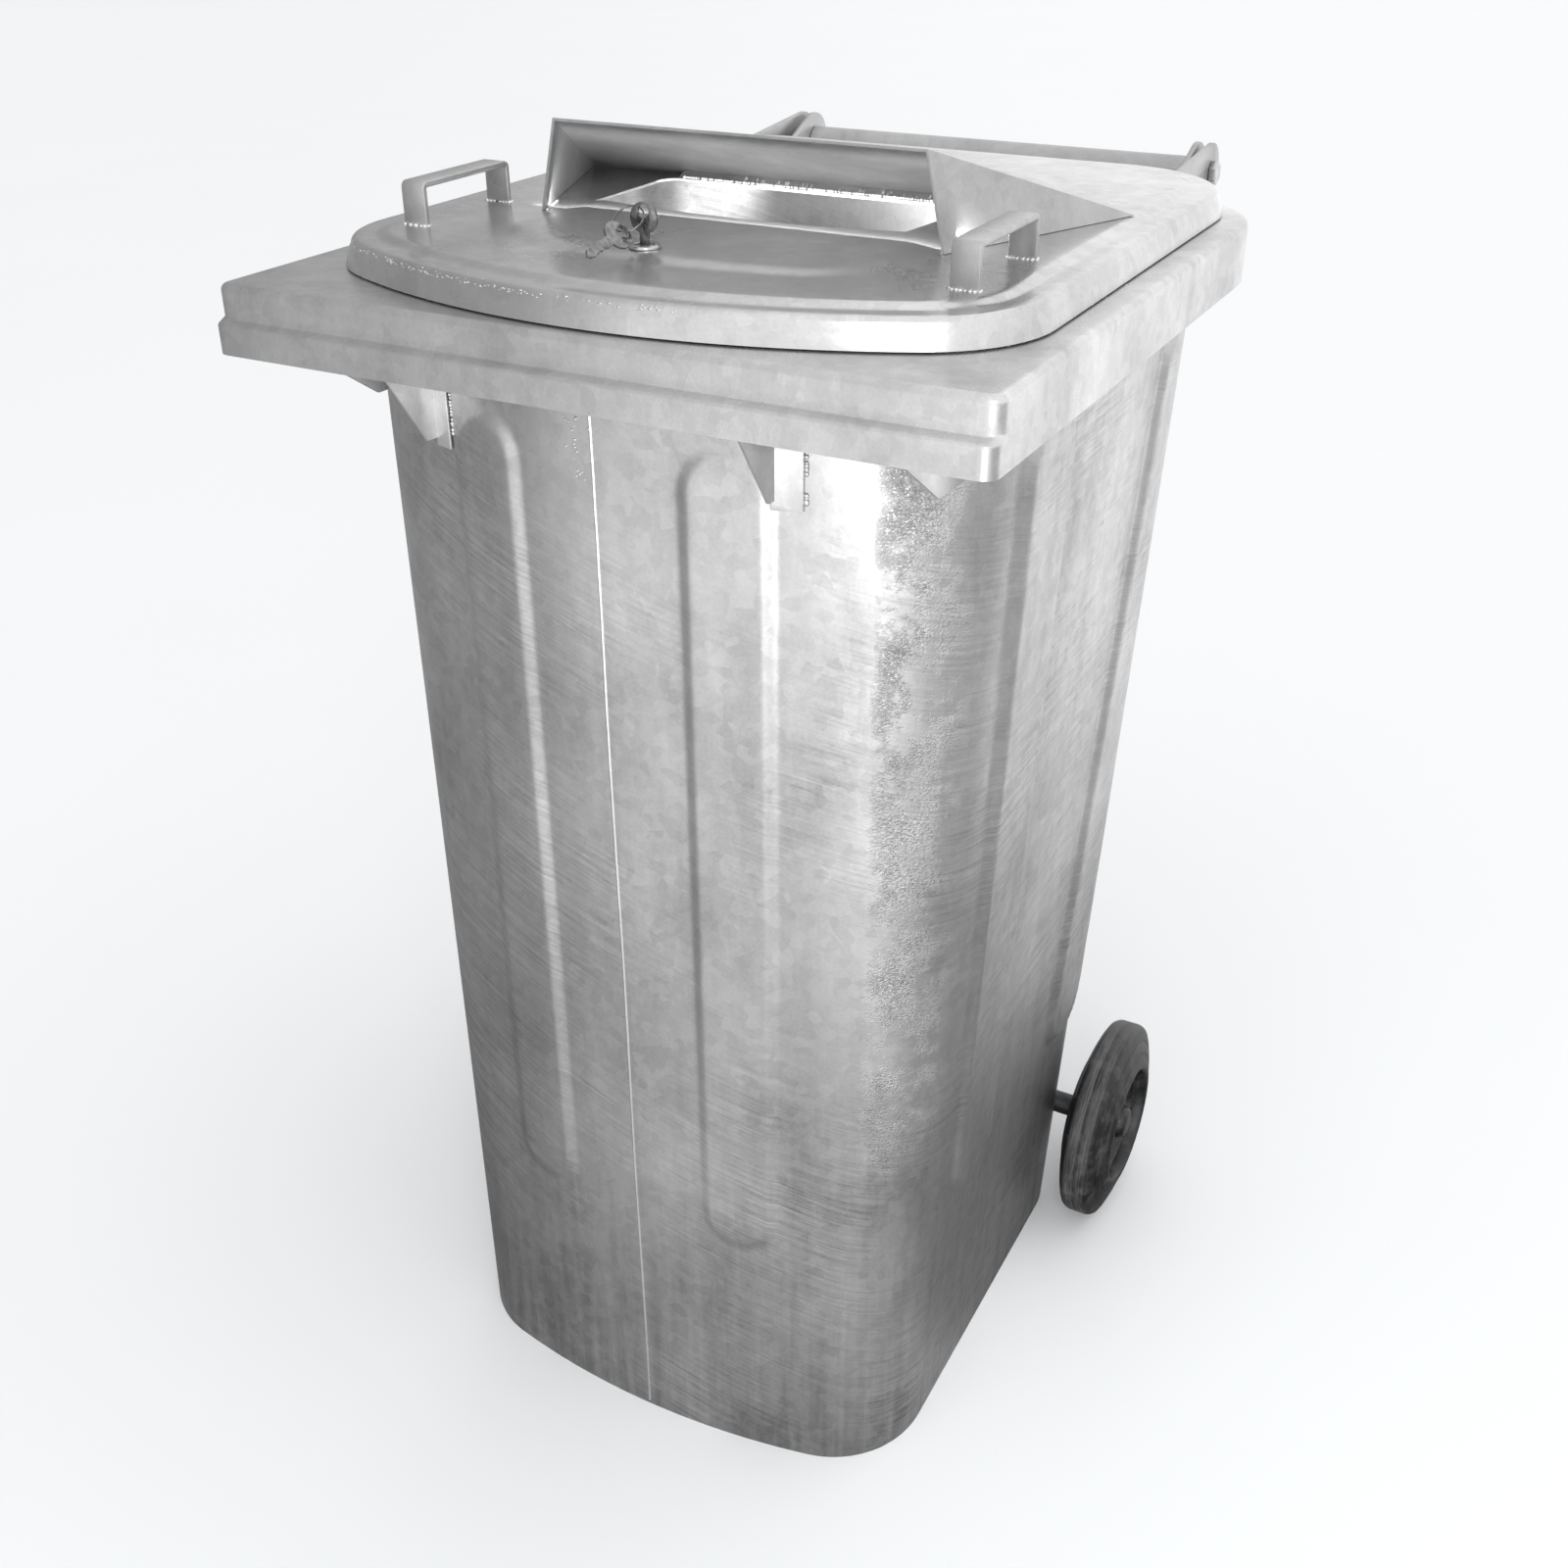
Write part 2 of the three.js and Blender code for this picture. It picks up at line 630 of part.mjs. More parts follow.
function slotForm() {
  const halfWidth = (SLOT_RIGHT - SLOT_LEFT) / 2;
  const middle = (SLOT_RIGHT + SLOT_LEFT) / 2;
  const spread = THREE.MathUtils.radToDeg(Math.asin(halfWidth / SLOT_BOW_RADIUS));
  const bowCentre = SLOT_FRONT + SLOT_BOW_RADIUS;
  const front = arc(middle, bowCentre, SLOT_BOW_RADIUS, -90 - spread, -90 + spread, ARC_STEPS);
  const outline = new THREE.Shape([...front, flat(SLOT_RIGHT, SLOT_BACK), flat(SLOT_LEFT, SLOT_BACK)]);
  return plateAcrossZ(outline, RIM_TOP, 2 * CENTRE_Z - RIM_TOP);
}

function lidShell() {
  const low = SKIRT_Z - 2 * TRIM;
  const below = plateAcrossZ(new THREE.Shape(lidPlan(2 * LID_SKIRT_FLARE)), low, SKIRT_Z);
  const lockHole = drillZ(LOCK_X, LOCK_Y, LOCK_BARREL_RADIUS + SEAT_GAP);
  const sheet = lidOuter.subtract(lidForm(-LID_SHEET, low)).subtract(below);
  return sheet.subtract(slotForm()).subtract(lockHole);
}

// ---- Hood ----

// The point where three planes meet.
function meeting(a, b, c) {
  const rows = new THREE.Matrix3().set(...a.normal.toArray(), ...b.normal.toArray(), ...c.normal.toArray());
  return point(-a.constant, -b.constant, -c.constant).applyMatrix3(rows.invert());
}

// The wedge inside the hood's top and side plates, moved in by a distance.
function hoodWedge(inset, front, low) {
  const topZ = PANEL_Z + HOOD_HEIGHT;
  const foot = point(HOOD_FOOT_HALF_WIDTH, HOOD_FRONT, PANEL_Z);
  const topCorner = point(HOOD_TOP_HALF_WIDTH, HOOD_FRONT, topZ);
  const back = point(HOOD_BACK_HALF_WIDTH, HOOD_BACK, PANEL_Z);
  const top = new THREE.Plane().setFromCoplanarPoints(topCorner, back, point(0, HOOD_FRONT, topZ));
  const side = new THREE.Plane().setFromCoplanarPoints(foot, back, topCorner);
  const centre = point(0, 0, PANEL_Z);
  for (const plane of [top, side]) {
    if (plane.distanceToPoint(centre) > 0) plane.negate();
    plane.constant += inset;
  }
  const mouth = new THREE.Plane(point(0, 1, 0), -front);
  const base = new THREE.Plane(point(0, 0, 1), -low);
  const right = [meeting(side, mouth, base), meeting(side, mouth, top), meeting(side, top, base)];
  const left = right.map((p) => point(-p.x, p.y, p.z));
  return loft([left, right]);
}

function hood() {
  const outside = hoodWedge(0, HOOD_FRONT, MARGIN_Z);
  const inside = hoodWedge(SHEET, HOOD_FRONT - HOOD_HEIGHT, MARGIN_Z - HOOD_HEIGHT);
  return outside.subtract(inside).subtract(lidReach);
}

// ---- Lid handles ----

// A strap bent down at both ends, drawn in Y and Z.
function lidHandle(side) {
  const back = HANDLE_FRONT + HANDLE_LENGTH;
  const top = PANEL_Z + HANDLE_HEIGHT;
  const bend = (inset) => HANDLE_BEND - inset;
  const path = new THREE.Shape();
  path.moveTo(HANDLE_FRONT, MARGIN_Z);
  path.lineTo(HANDLE_FRONT, top - HANDLE_BEND);
  path.absarc(HANDLE_FRONT + HANDLE_BEND, top - HANDLE_BEND, bend(0), Math.PI, Math.PI / 2, true);
  path.absarc(back - HANDLE_BEND, top - HANDLE_BEND, bend(0), Math.PI / 2, 0, true);
  path.lineTo(back, MARGIN_Z);
  path.lineTo(back - HANDLE_STRAP, MARGIN_Z);
  path.absarc(back - HANDLE_BEND, top - HANDLE_BEND, bend(HANDLE_STRAP), 0, Math.PI / 2, false);
  path.absarc(HANDLE_FRONT + HANDLE_BEND, top - HANDLE_BEND, bend(HANDLE_STRAP), Math.PI / 2, Math.PI, false);
  path.lineTo(HANDLE_FRONT + HANDLE_STRAP, MARGIN_Z);
  const middle = side * HANDLE_CENTRE;
  return plateAcrossX(path, middle - HANDLE_WIDTH / 2, middle + HANDLE_WIDTH / 2).subtract(lidReach);
}

// ---- Hinge ----

// The clearance hole for the hinge bolts, through every plate they pass.
const boltHole = drillX(HINGE_Y, HINGE_Z, BOLT_RADIUS + SEAT_GAP);

// The body's bracket: a plate from the rim's rear band, low under the lid's edge, up to its ear.
function hingeBracket(side) {
  const root = RIM_REAR + SEAT_GAP;
  const shelf = RIM_TOP - BRACKET_TOP_DROP;
  const ear = arc(HINGE_Y, HINGE_Z, HINGE_EAR_RADIUS, BRACKET_EAR_START, BRACKET_EAR_END, 2 * ARC_STEPS);
  const outline = new THREE.Shape([
    flat(root, RIM_BASE + BRACKET_FOOT),
    ...ear,
    flat(root + BRACKET_SHELF, shelf),
    flat(root, shelf),
  ]);
  const plate = plateAcrossX(outline, side * BRACKET_INNER, side * (BRACKET_INNER + HINGE_PLATE));
  return plate.subtract(boltHole);
}

// The lid's arm: a plate from the lid's rear skirt to its ear, outside the bracket.
function lidArm(side) {
  const root = LID_REAR - ARM_FOOT;
  const ear = arc(HINGE_Y, HINGE_Z, HINGE_EAR_RADIUS, ARM_EAR_START, ARM_EAR_END, 2 * ARC_STEPS);
  const low = SKIRT_Z + SEAT_GAP;
  const outline = new THREE.Shape([
    flat(root, low),
    flat(LID_REAR + LID_SKIRT_FLARE, low),
    ...ear,
    flat(root, low + ARM_DEPTH),
  ]);
  const plate = plateAcrossX(outline, side * ARM_INNER, side * (ARM_INNER + HINGE_PLATE));
  return plate.subtract(lidReach).subtract(boltHole);
}

function hingeBar() {
  return turnedX([
    [BAR_RADIUS - BAR_WALL, -BAR_HALF_LENGTH],
    [BAR_RADIUS, -BAR_HALF_LENGTH],
    [BAR_RADIUS, BAR_HALF_LENGTH],
    [BAR_RADIUS - BAR_WALL, BAR_HALF_LENGTH],
  ]);
}

function hingeSpacer() {
  return turnedX([
    [BOLT_RADIUS + SEAT_GAP, SPACER_INNER],
    [SPACER_RADIUS, SPACER_INNER],
    [SPACER_RADIUS, SPACER_INNER + SPACER_THICKNESS],
    [BOLT_RADIUS + SEAT_GAP, SPACER_INNER + SPACER_THICKNESS],
  ]);
}

// A six-sided block about the X axis.
function hexAcrossX(radius, from, to) {
  const block = new THREE.CylinderGeometry(radius, radius, to - from, 6).rotateZ(Math.PI / 2);
  return solid(block.translate((from + to) / 2, 0, 0));
}

function hingeBolt() {
  const tip = BAR_HALF_LENGTH - NUT_INSET - NUT_THICKNESS;
  const end = BOLT_HEAD_INNER + BOLT_BURY;
  const shank = turnedX([
    [0, tip],
    [BOLT_RADIUS, tip],
    [BOLT_RADIUS, end],
    [0, end],
  ]);
  return shank.add(hexAcrossX(BOLT_HEX_RADIUS, BOLT_HEAD_INNER, BOLT_HEAD_INNER + BOLT_HEAD));
}

function hingeNut() {
  const outer = BAR_HALF_LENGTH - NUT_INSET;
  const inner = outer - NUT_THICKNESS;
  const block = hexAcrossX(BAR_RADIUS - BAR_WALL - SEAT_GAP, inner, outer);
  return block.subtract(drillX(0, 0, BOLT_RADIUS + SEAT_GAP));
}

// ---- Lock and keys, drawn about the lock's axis ----

const LOCK_TOP = CENTRE_Z + SEAT_GAP + LOCK_HEAD;
const BARREL_BORE = PLUG_RADIUS + SEAT_GAP;
const KEY_HOLE_HEIGHT = KEY_NECK + KEY_BOW_RADIUS + KEY_HOLE_OFFSET;

function lockHousing() {
  const seat = CENTRE_Z + SEAT_GAP;
  return turnedZ([
    [BARREL_BORE, LOCK_BARREL_BASE],
    [LOCK_BARREL_RADIUS, LOCK_BARREL_BASE],
    [LOCK_BARREL_RADIUS, seat],
    [LOCK_HEAD_RADIUS, seat],
    [LOCK_HEAD_RADIUS, LOCK_TOP],
    [BARREL_BORE, LOCK_TOP],
  ]);
}

function lockNut() {
  const top = CENTRE_Z - LID_SHEET - SEAT_GAP;
  return turnedZ([
    [LOCK_BARREL_RADIUS + SEAT_GAP, top - LOCK_NUT_THICKNESS],
    [LOCK_NUT_RADIUS, top - LOCK_NUT_THICKNESS],
    [LOCK_NUT_RADIUS, top],
    [LOCK_BARREL_RADIUS + SEAT_GAP, top],
  ]);
}

function keyway(width, thickness, low, high) {
  return solid(new THREE.BoxGeometry(width, thickness, high - low).translate(0, 0, (low + high) / 2));
}

// The turning plug, with a stud below that carries the tongue.
function lockPlug() {
  const stud = TONGUE_TOP - TONGUE_THICKNESS - TONGUE_NUT_THICKNESS - 2 * SEAT_GAP;
  const body = turnedZ([
    [0, stud],
    [PLUG_STUD_RADIUS, stud],
    [PLUG_STUD_RADIUS, TONGUE_TOP + SEAT_GAP],
    [PLUG_RADIUS, TONGUE_TOP + SEAT_GAP],
    [PLUG_RADIUS, LOCK_TOP],
    [0, LOCK_TOP],
  ]);
  const low = LOCK_TOP - KEY_BLADE_LENGTH + KEY_NECK - SEAT_GAP;
  const width = KEY_BLADE_WIDTH + 2 * SEAT_GAP;
  const thickness = KEY_THICKNESS + 2 * SEAT_GAP;
  return body.subtract(keyway(width, thickness, low, LOCK_TOP + TRIM));
}

function latchTongue() {
  const end = TONGUE_WIDTH / 2;
  const outline = new THREE.Shape([
    ...arc(0, 0, end, 90, 270, ARC_STEPS),
    flat(TONGUE_LENGTH, -end),
    flat(TONGUE_LENGTH, end),
  ]);
  const plate = plateAcrossZ(outline, TONGUE_TOP - TONGUE_THICKNESS, TONGUE_TOP);
  return plate.subtract(drillZ(0, 0, PLUG_STUD_RADIUS + SEAT_GAP));
}

function tongueNut() {
  const top = TONGUE_TOP - TONGUE_THICKNESS - SEAT_GAP;
  return turnedZ([
    [PLUG_STUD_RADIUS + SEAT_GAP, top - TONGUE_NUT_THICKNESS],
    [2 * PLUG_STUD_RADIUS, top - TONGUE_NUT_THICKNESS],
    [2 * PLUG_STUD_RADIUS, top],
    [PLUG_STUD_RADIUS + SEAT_GAP, top],
  ]);
}

// The keeper inside the front wall: an angle whose lip the turned tongue slides under.
function lockKeeper() {
  const lipTop = TONGUE_TOP + KEEPER_LIFT + KEEPER_SHEET;
  const back = LOCK_Y - TONGUE_LENGTH + KEEPER_LIP - KEEPER_SHEET;
  const front = MOUTH_FRONT;
  const leg = wallPoint("x", LOCK_X, lipTop, -SHEET - SEAT_GAP) + KEEPER_SHEET;
  const outline = new THREE.Shape([
    flat(front, lipTop - KEEPER_HEIGHT),
    flat(leg, lipTop - KEEPER_HEIGHT),
    flat(leg, lipTop - KEEPER_SHEET),
    flat(back, lipTop - KEEPER_SHEET),
    flat(back, lipTop),
    flat(front, lipTop),
  ]);
  const angle = plateAcrossX(outline, LOCK_X - KEEPER_WIDTH / 2, LOCK_X + KEEPER_WIDTH / 2);
  const inside = [lipTop - 2 * KEEPER_HEIGHT, BODY_HEIGHT].map((z) => bodyRing(z, -SHEET - SEAT_GAP));
  return angle.intersect(loft(inside));
}

// A flat key standing on its blade: the shank and a round bow with a hole, drawn in X and Z.
function keyShape() {
  const neck = KEY_BLADE_WIDTH / 2;
  const bowCentre = KEY_NECK + KEY_BOW_RADIUS;
  const start = THREE.MathUtils.radToDeg(Math.asin(neck / KEY_BOW_RADIUS));
  const tip = KEY_NECK - KEY_BLADE_LENGTH;
  const outline = new THREE.Shape([
    flat(neck, tip + neck),
    ...arc(0, bowCentre, KEY_BOW_RADIUS, start - 90, 270 - start, ROUND_STEPS / 2),
    flat(-neck, tip + neck),
    flat(0, tip),
  ]);
  return outline;
}

function keySolid() {
  const plate = solid(extrude(keyShape(), KEY_THICKNESS).translate(0, 0, -KEY_THICKNESS / 2));
  const drilled = plate.subtract(drillZ(0, KEY_HOLE_HEIGHT, KEY_HOLE_RADIUS));
  return drilled.rotate([90, 0, 0]);
}

function keyRing() {
  return solid(new THREE.TorusGeometry(KEYRING_RADIUS, KEYRING_WIRE, 8, ROUND_STEPS));
}

// ---- Wheels and axle, drawn about the wheel's centre, outboard to the right ----

function tyre() {
  const half = (outboard) => [
    [TYRE_BORE, outboard * HUB_HALF_LENGTH],
    [TYRE_RING_RADIUS - TYRE_RING_WIDTH, outboard * (TYRE_HALF_WIDTH - TYRE_RING_EASE)],
    [TYRE_RING_RADIUS, outboard * TYRE_HALF_WIDTH],
    [TYRE_RING_RADIUS + TYRE_RING_DRAFT, outboard * (TYRE_HALF_WIDTH - TYRE_RING_RISE)],
    [WHEEL_RADIUS - TYRE_SHOULDER, outboard * (TREAD_HALF_WIDTH + TYRE_SHOULDER)],
    [WHEEL_RADIUS, outboard * TREAD_HALF_WIDTH],
  ];
  return turnedX([...half(-1), ...half(1).reverse()]);
}

function wheelHub() {
  const rim = TYRE_BORE - SEAT_GAP;
  const bore = AXLE_RADIUS + SEAT_GAP;
  const web = HUB_WEB / 2;
  const half = (outboard) => [
    [bore, outboard * HUB_HALF_LENGTH],
    [HUB_RADIUS - HUB_DRAFT, outboard * HUB_HALF_LENGTH],
    [HUB_RADIUS, outboard * web],
    [rim - HUB_RIM_WALL, outboard * web],
    [rim - HUB_RIM_WALL, outboard * HUB_HALF_LENGTH],
    [rim, outboard * HUB_HALF_LENGTH],
  ];
  return turnedX([...half(-1), ...half(1).reverse()]);
}

const WASHER_START = HUB_HALF_LENGTH + SEAT_GAP;
const CAP_START = WASHER_START + WASHER_THICKNESS + SEAT_GAP;
const AXLE_END = CAP_START + CAP_DEPTH - CAP_WALL - SEAT_GAP;

function ring(bore, radius, from, to) {
  return turnedX([
    [bore, from],
    [radius, from],
    [radius, to],
    [bore, to],
  ]);
}

function axleCap() {
  return turnedX([
    [AXLE_RADIUS + SEAT_GAP, CAP_START],
    [WASHER_RADIUS, CAP_START],
    [WASHER_RADIUS - CAP_WALL, CAP_START + CAP_DEPTH - CAP_BEVEL],
    [WASHER_RADIUS - 2 * CAP_WALL, CAP_START + CAP_DEPTH],
    [0, CAP_START + CAP_DEPTH],
    [0, CAP_START + CAP_DEPTH - CAP_WALL],
    [AXLE_RADIUS + SEAT_GAP, CAP_START + CAP_DEPTH - CAP_WALL],
  ]);
}

function axleBracket(side) {
  const root = RECESS_WALL + SEAT_GAP;
  const half = AXLE_BRACKET_HEIGHT / 2;
  const outline = new THREE.Shape([
    flat(root, WHEEL_RADIUS - half),
    ...arc(AXLE_Y, WHEEL_RADIUS, AXLE_BRACKET_EAR, -AXLE_EAR_SPREAD, AXLE_EAR_SPREAD, ARC_STEPS),
    flat(root, WHEEL_RADIUS + half),
  ]);
  const plate = plateAcrossX(outline, side * AXLE_BRACKET_X, side * (AXLE_BRACKET_X + AXLE_BRACKET_PLATE));
  return plate.subtract(drillX(AXLE_Y, WHEEL_RADIUS, AXLE_RADIUS + SEAT_GAP));
}

// ---- Materials ----

const finish = (color, roughness, metalness) => () =>
  new THREE.MeshStandardMaterial({ color, roughness, metalness });
const galvanized = finish("#b9bcbd", 0.42, 0.9);
const zincPlated = finish("#c9cbcc", 0.3, 0.95);
const nickelPlated = finish("#d4d2cc", 0.2, 1);
const dullSteel = finish("#4a4a4a", 0.5, 0.8);
const blackRubber = finish("#1b1b1b", 0.8, 0);
const blackPlastic = finish("#232323", 0.55, 0);

function piece(name, shape, material) {
  const mesh = new THREE.Mesh(geometryOf(shape), material());
  mesh.name = name;
  return mesh;
}

// ---- Assembly ----

const SIDES = [
  ["left", -1],
  ["right", 1],
];

const gathered = (...children) => new THREE.Group().add(...children);

function placed(x, y, z, ...children) {
  const group = gathered(...children);
  group.position.set(x, y, z);
  return group;
}

function bodyPieces() {
  const outerRib = (x, setback) => combRib(x, OUTER_RIB_DROP, OUTER_RIB_NOSE, 0, setback);
  const innerRib = (x, flange) => combRib(x, INNER_RIB_DROP, INNER_RIB_NOSE, flange, 0);
  return gathered(
    piece("body_shell", bodyShell(), galvanized),
    piece("floor_pan", floorPan(), galvanized),
    piece("rim_frame", rimFrame(), galvanized),
    piece("lock_keeper", lockKeeper(), galvanized),
    piece("comb_rib_left_outer", outerRib(LEFT_OUTER_RIB_X, LEFT_OUTER_RIB_SETBACK), galvanized),
    piece("comb_rib_left_inner", innerRib(LEFT_RIB_X, LEFT_RIB_FLANGE), galvanized),
    piece("comb_rib_right_inner", innerRib(RIGHT_RIB_X, RIGHT_RIB_FLANGE), galvanized),
    piece("comb_rib_right_outer", outerRib(RIGHT_OUTER_RIB_X, 0), galvanized),
  );
}

function hingePieces() {
  const fasteners = SIDES.map(([name, side]) => {
    const group = gathered(
      piece("hinge_bolt_" + name, hingeBolt(), zincPlated),
      piece("hinge_nut_" + name, hingeNut(), zincPlated),
      piece("hinge_spacer_" + name, hingeSpacer(), zincPlated),
    );
    group.rotation.z = side < 0 ? Math.PI : 0;
    return group;
  });
  return gathered(
    placed(0, HINGE_Y, HINGE_Z, piece("hinge_bar", hingeBar(), galvanized), ...fasteners),
    ...SIDES.map(([name, side]) => piece("hinge_bracket_" + name, hingeBracket(side), galvanized)),
  );
}

function lidPieces() {
  return gathered(
    piece("lid_shell", lidShell(), galvanized),
    piece("hood", hood(), galvanized),
    ...SIDES.map(([name, side]) => piece("lid_handle_" + name, lidHandle(side), galvanized)),
    ...SIDES.map(([name, side]) => piece("lid_arm_" + name, lidArm(side), galvanized)),
  );
}

// The key stands in the plug. Its ring goes through the bow and round one side of it, slopes down
// to the front, and carries the second key there, which leans on the lid.
function keyPieces() {
  const dip = degrees(KEYRING_DIP);
  const forward = point(0, -Math.cos(dip), -Math.sin(dip));
  const hole = point(0, 0, KEY_HOLE_HEIGHT);
  const middle = hole.clone().addScaledVector(forward, KEYRING_REACH).add(point(-KEYRING_SIDE, 0, 0));
  const key = piece("key", keySolid(), nickelPlated);
  const loop = piece("key_ring", keyRing(), nickelPlated);
  loop.rotation.x = dip;
  loop.position.copy(middle);
  const spare = piece("spare_key", keySolid().translate(0, 0, -KEY_HOLE_HEIGHT - SPARE_SLACK), nickelPlated);
  spare.rotation.set(degrees(SPARE_DIP - 90), 0, degrees(SPARE_ROLL));
  spare.position.copy(middle).addScaledVector(forward, KEYRING_RADIUS);
  return placed(0, 0, LOCK_TOP + SEAT_GAP, key, loop, spare);
}

function lockPieces() {
  return placed(
    LOCK_X,
    LOCK_Y,
    0,
    piece("lock_housing", lockHousing(), zincPlated),
    piece("lock_nut", lockNut(), zincPlated),
    piece("lock_plug", lockPlug(), nickelPlated),
    piece("latch_tongue", latchTongue(), zincPlated),
    piece("tongue_nut", tongueNut(), zincPlated),
    keyPieces(),
  );
}

function wheelPieces(name, side) {
  const bore = AXLE_RADIUS + SEAT_GAP;
  const washer = ring(bore, WASHER_RADIUS, WASHER_START, WASHER_START + WASHER_THICKNESS);
  const collar = ring(bore, WASHER_RADIUS, -WASHER_START - COLLAR_LENGTH, -WASHER_START);
  const wheel = placed(
    side * WHEEL_CENTRE_X,
    AXLE_Y,
    WHEEL_RADIUS,
    piece("tyre_" + name, tyre(), blackRubber),
    piece("wheel_hub_" + name, wheelHub(), blackPlastic),
    piece("axle_washer_" + name, washer, dullSteel),
    piece("axle_cap_" + name, axleCap(), blackPlastic),
    piece("axle_collar_" + name, collar, dullSteel),
  );
  wheel.rotation.z = side < 0 ? Math.PI : 0;
  return wheel;
}

function axlePieces() {
  const reach = WHEEL_CENTRE_X + AXLE_END;
  const axle = piece("axle", ring(0, AXLE_RADIUS, -reach, reach), dullSteel);
  return gathered(
    placed(0, AXLE_Y, WHEEL_RADIUS, axle),
    ...SIDES.map(([name, side]) => piece("axle_bracket_" + name, axleBracket(side), galvanized)),
    ...SIDES.map(([name, side]) => wheelPieces(name, side)),
  );
}

const bin = placed(
  0,
  -(RIM_FRONT + REAR_END) / 2,
  0,
  bodyPieces(),
  hingePieces(),
  lidPieces(),
  lockPieces(),
  axlePieces(),
);

export default bin;
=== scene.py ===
import random
from math import asin, atan2, cos, degrees, hypot, pi, radians, sin, sqrt

import bmesh
import bpy
from mathutils import Euler, Matrix, Vector


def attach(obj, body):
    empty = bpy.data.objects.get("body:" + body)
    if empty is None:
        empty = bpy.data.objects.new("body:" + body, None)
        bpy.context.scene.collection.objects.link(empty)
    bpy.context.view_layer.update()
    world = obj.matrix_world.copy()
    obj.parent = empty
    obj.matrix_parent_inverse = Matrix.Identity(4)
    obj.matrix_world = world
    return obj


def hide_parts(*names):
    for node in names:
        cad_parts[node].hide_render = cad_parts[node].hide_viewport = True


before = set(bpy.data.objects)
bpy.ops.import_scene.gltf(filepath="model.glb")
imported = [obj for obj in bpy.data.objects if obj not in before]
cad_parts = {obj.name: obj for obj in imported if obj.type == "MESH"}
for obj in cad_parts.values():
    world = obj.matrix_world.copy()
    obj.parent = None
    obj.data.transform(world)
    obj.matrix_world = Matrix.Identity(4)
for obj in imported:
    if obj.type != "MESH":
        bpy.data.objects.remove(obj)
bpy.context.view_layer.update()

# ---- Room ----
# A pale floor under soft studio light, brighter on the right, seen from the photograph's place.
# Zinc mirrors a glowing sheet of its own in place of the white floor, a painted reflection
# of the ground with painted shade near the bin and to either side, and three small lights reach
# into the slot, the hood and the bin.

CAMERA_PLACE = (0.6118, -1.2345, 1.2595)
CAMERA_YAW = 27.86
CAMERA_PITCH = 29.57
CAMERA_ROLL = 0.13
CAMERA_LENS = 39.13
SENSOR_WIDTH = 36.0
GROUND_HALF = 60  # metres
BACKDROP = 0.93  # what the camera sees beyond the floor
ROOM_DARK = 0.38
ROOM_LIGHT = 1.22
ROOM_TURN = (-0.75, -0.2)  # where across the room, from -1 to 1, dark turns to light
REFLECTED_GROUND_SHADE_NEAR_BIN = (0.3, 1.6, 0.31, 1.1)  # from and to in metres, and the painted glow at each: painted shade near the bin
REFLECTED_GROUND_SHADE_BY_SIDE = ((-0.75, -0.25, 0.32, 1.0), (0.78, 0.97, 1.0, 0.4))  # the same, by direction: painted shade to the left and towards the right side
SOFT_LIGHTS = (  # name, place, aim, width and height in metres, watts
    ("low_key", (1.05, -1.75, 0.34), (0.2, -0.3, 0.62), 0.8, 0.7, 4),
    ("high_key", (1.5, -2.4, 2.1), (0.1, -0.2, 0.95), 1.0, 0.8, 15),
    ("hood_light", (0, -0.14, 1.002), (0, 0.2, 1.03), 0.36, 0.03, 0.9),
    ("hood_side_light", (0.13, 0.0, 1.03), (-0.17, 0.0, 1.02), 0.03, 0.03, 0.2),
    ("inside_light", (0.02, 0.05, 0.89), (0.02, 0.3, 0.9), 0.08, 0.08, 0.4),
)


def linear(hex_colour):
    """The linear colour of an sRGB hex value."""
    parts = [int(hex_colour[i : i + 2], 16) / 255 for i in (1, 3, 5)]
    curve = [c / 12.92 if c <= 0.04045 else ((c + 0.055) / 1.055) ** 2.4 for c in parts]
    return (*curve, 1.0)


def feed(material, node, values):
    """Sets a node's inputs: a number, a colour, or the node or output that feeds one."""
    for key, value in values.items():
        if isinstance(value, bpy.types.Node):
            value = value.outputs[0]
        if isinstance(value, bpy.types.NodeSocket):
            material.node_tree.links.new(value, node.inputs[key])
        else:
            node.inputs[key].default_value = value


def add_node(material, kind, values=None, **settings):
    """Adds a node with its settings and inputs."""
    node = material.node_tree.nodes.new(kind)
    for key, value in settings.items():
        setattr(node, key, value)
    feed(material, node, values or {})
    return node


def new_material(name):
    """An empty material with its shader and its coordinates."""
    material = bpy.data.materials.new(name)
    material.use_nodes = True
    shader = material.node_tree.nodes["Principled BSDF"]
    place = add_node(material, "ShaderNodeTexCoord").outputs["Object"]
    return material, shader, place


def soft_light(name, place, aim, width, height, watts):
    """A rectangular soft light that the camera doesn't see."""
    lamp = bpy.data.lights.new(name, "AREA")
    lamp.shape = "RECTANGLE"
    lamp.size = width
    lamp.size_y = height
    lamp.energy = watts
    holder = bpy.data.objects.new(name, lamp)
    holder.location = place
    holder.rotation_euler = (Vector(aim) - Vector(place)).to_track_quat("-Z", "Y").to_euler()
    holder.visible_camera = False
    bpy.context.scene.collection.objects.link(holder)


camera = bpy.data.objects.new("camera", bpy.data.cameras.new("camera"))
camera.data.sensor_width = SENSOR_WIDTH
camera.data.lens = CAMERA_LENS
camera.location = CAMERA_PLACE
turn = Euler((0, 0, radians(CAMERA_YAW))).to_matrix()
tilt = Euler((radians(90 - CAMERA_PITCH), 0, 0)).to_matrix()
roll = Euler((0, 0, radians(-CAMERA_ROLL))).to_matrix()
camera.rotation_euler = (turn @ tilt @ roll).to_euler()
bpy.context.scene.collection.objects.link(camera)
bpy.context.scene.camera = camera

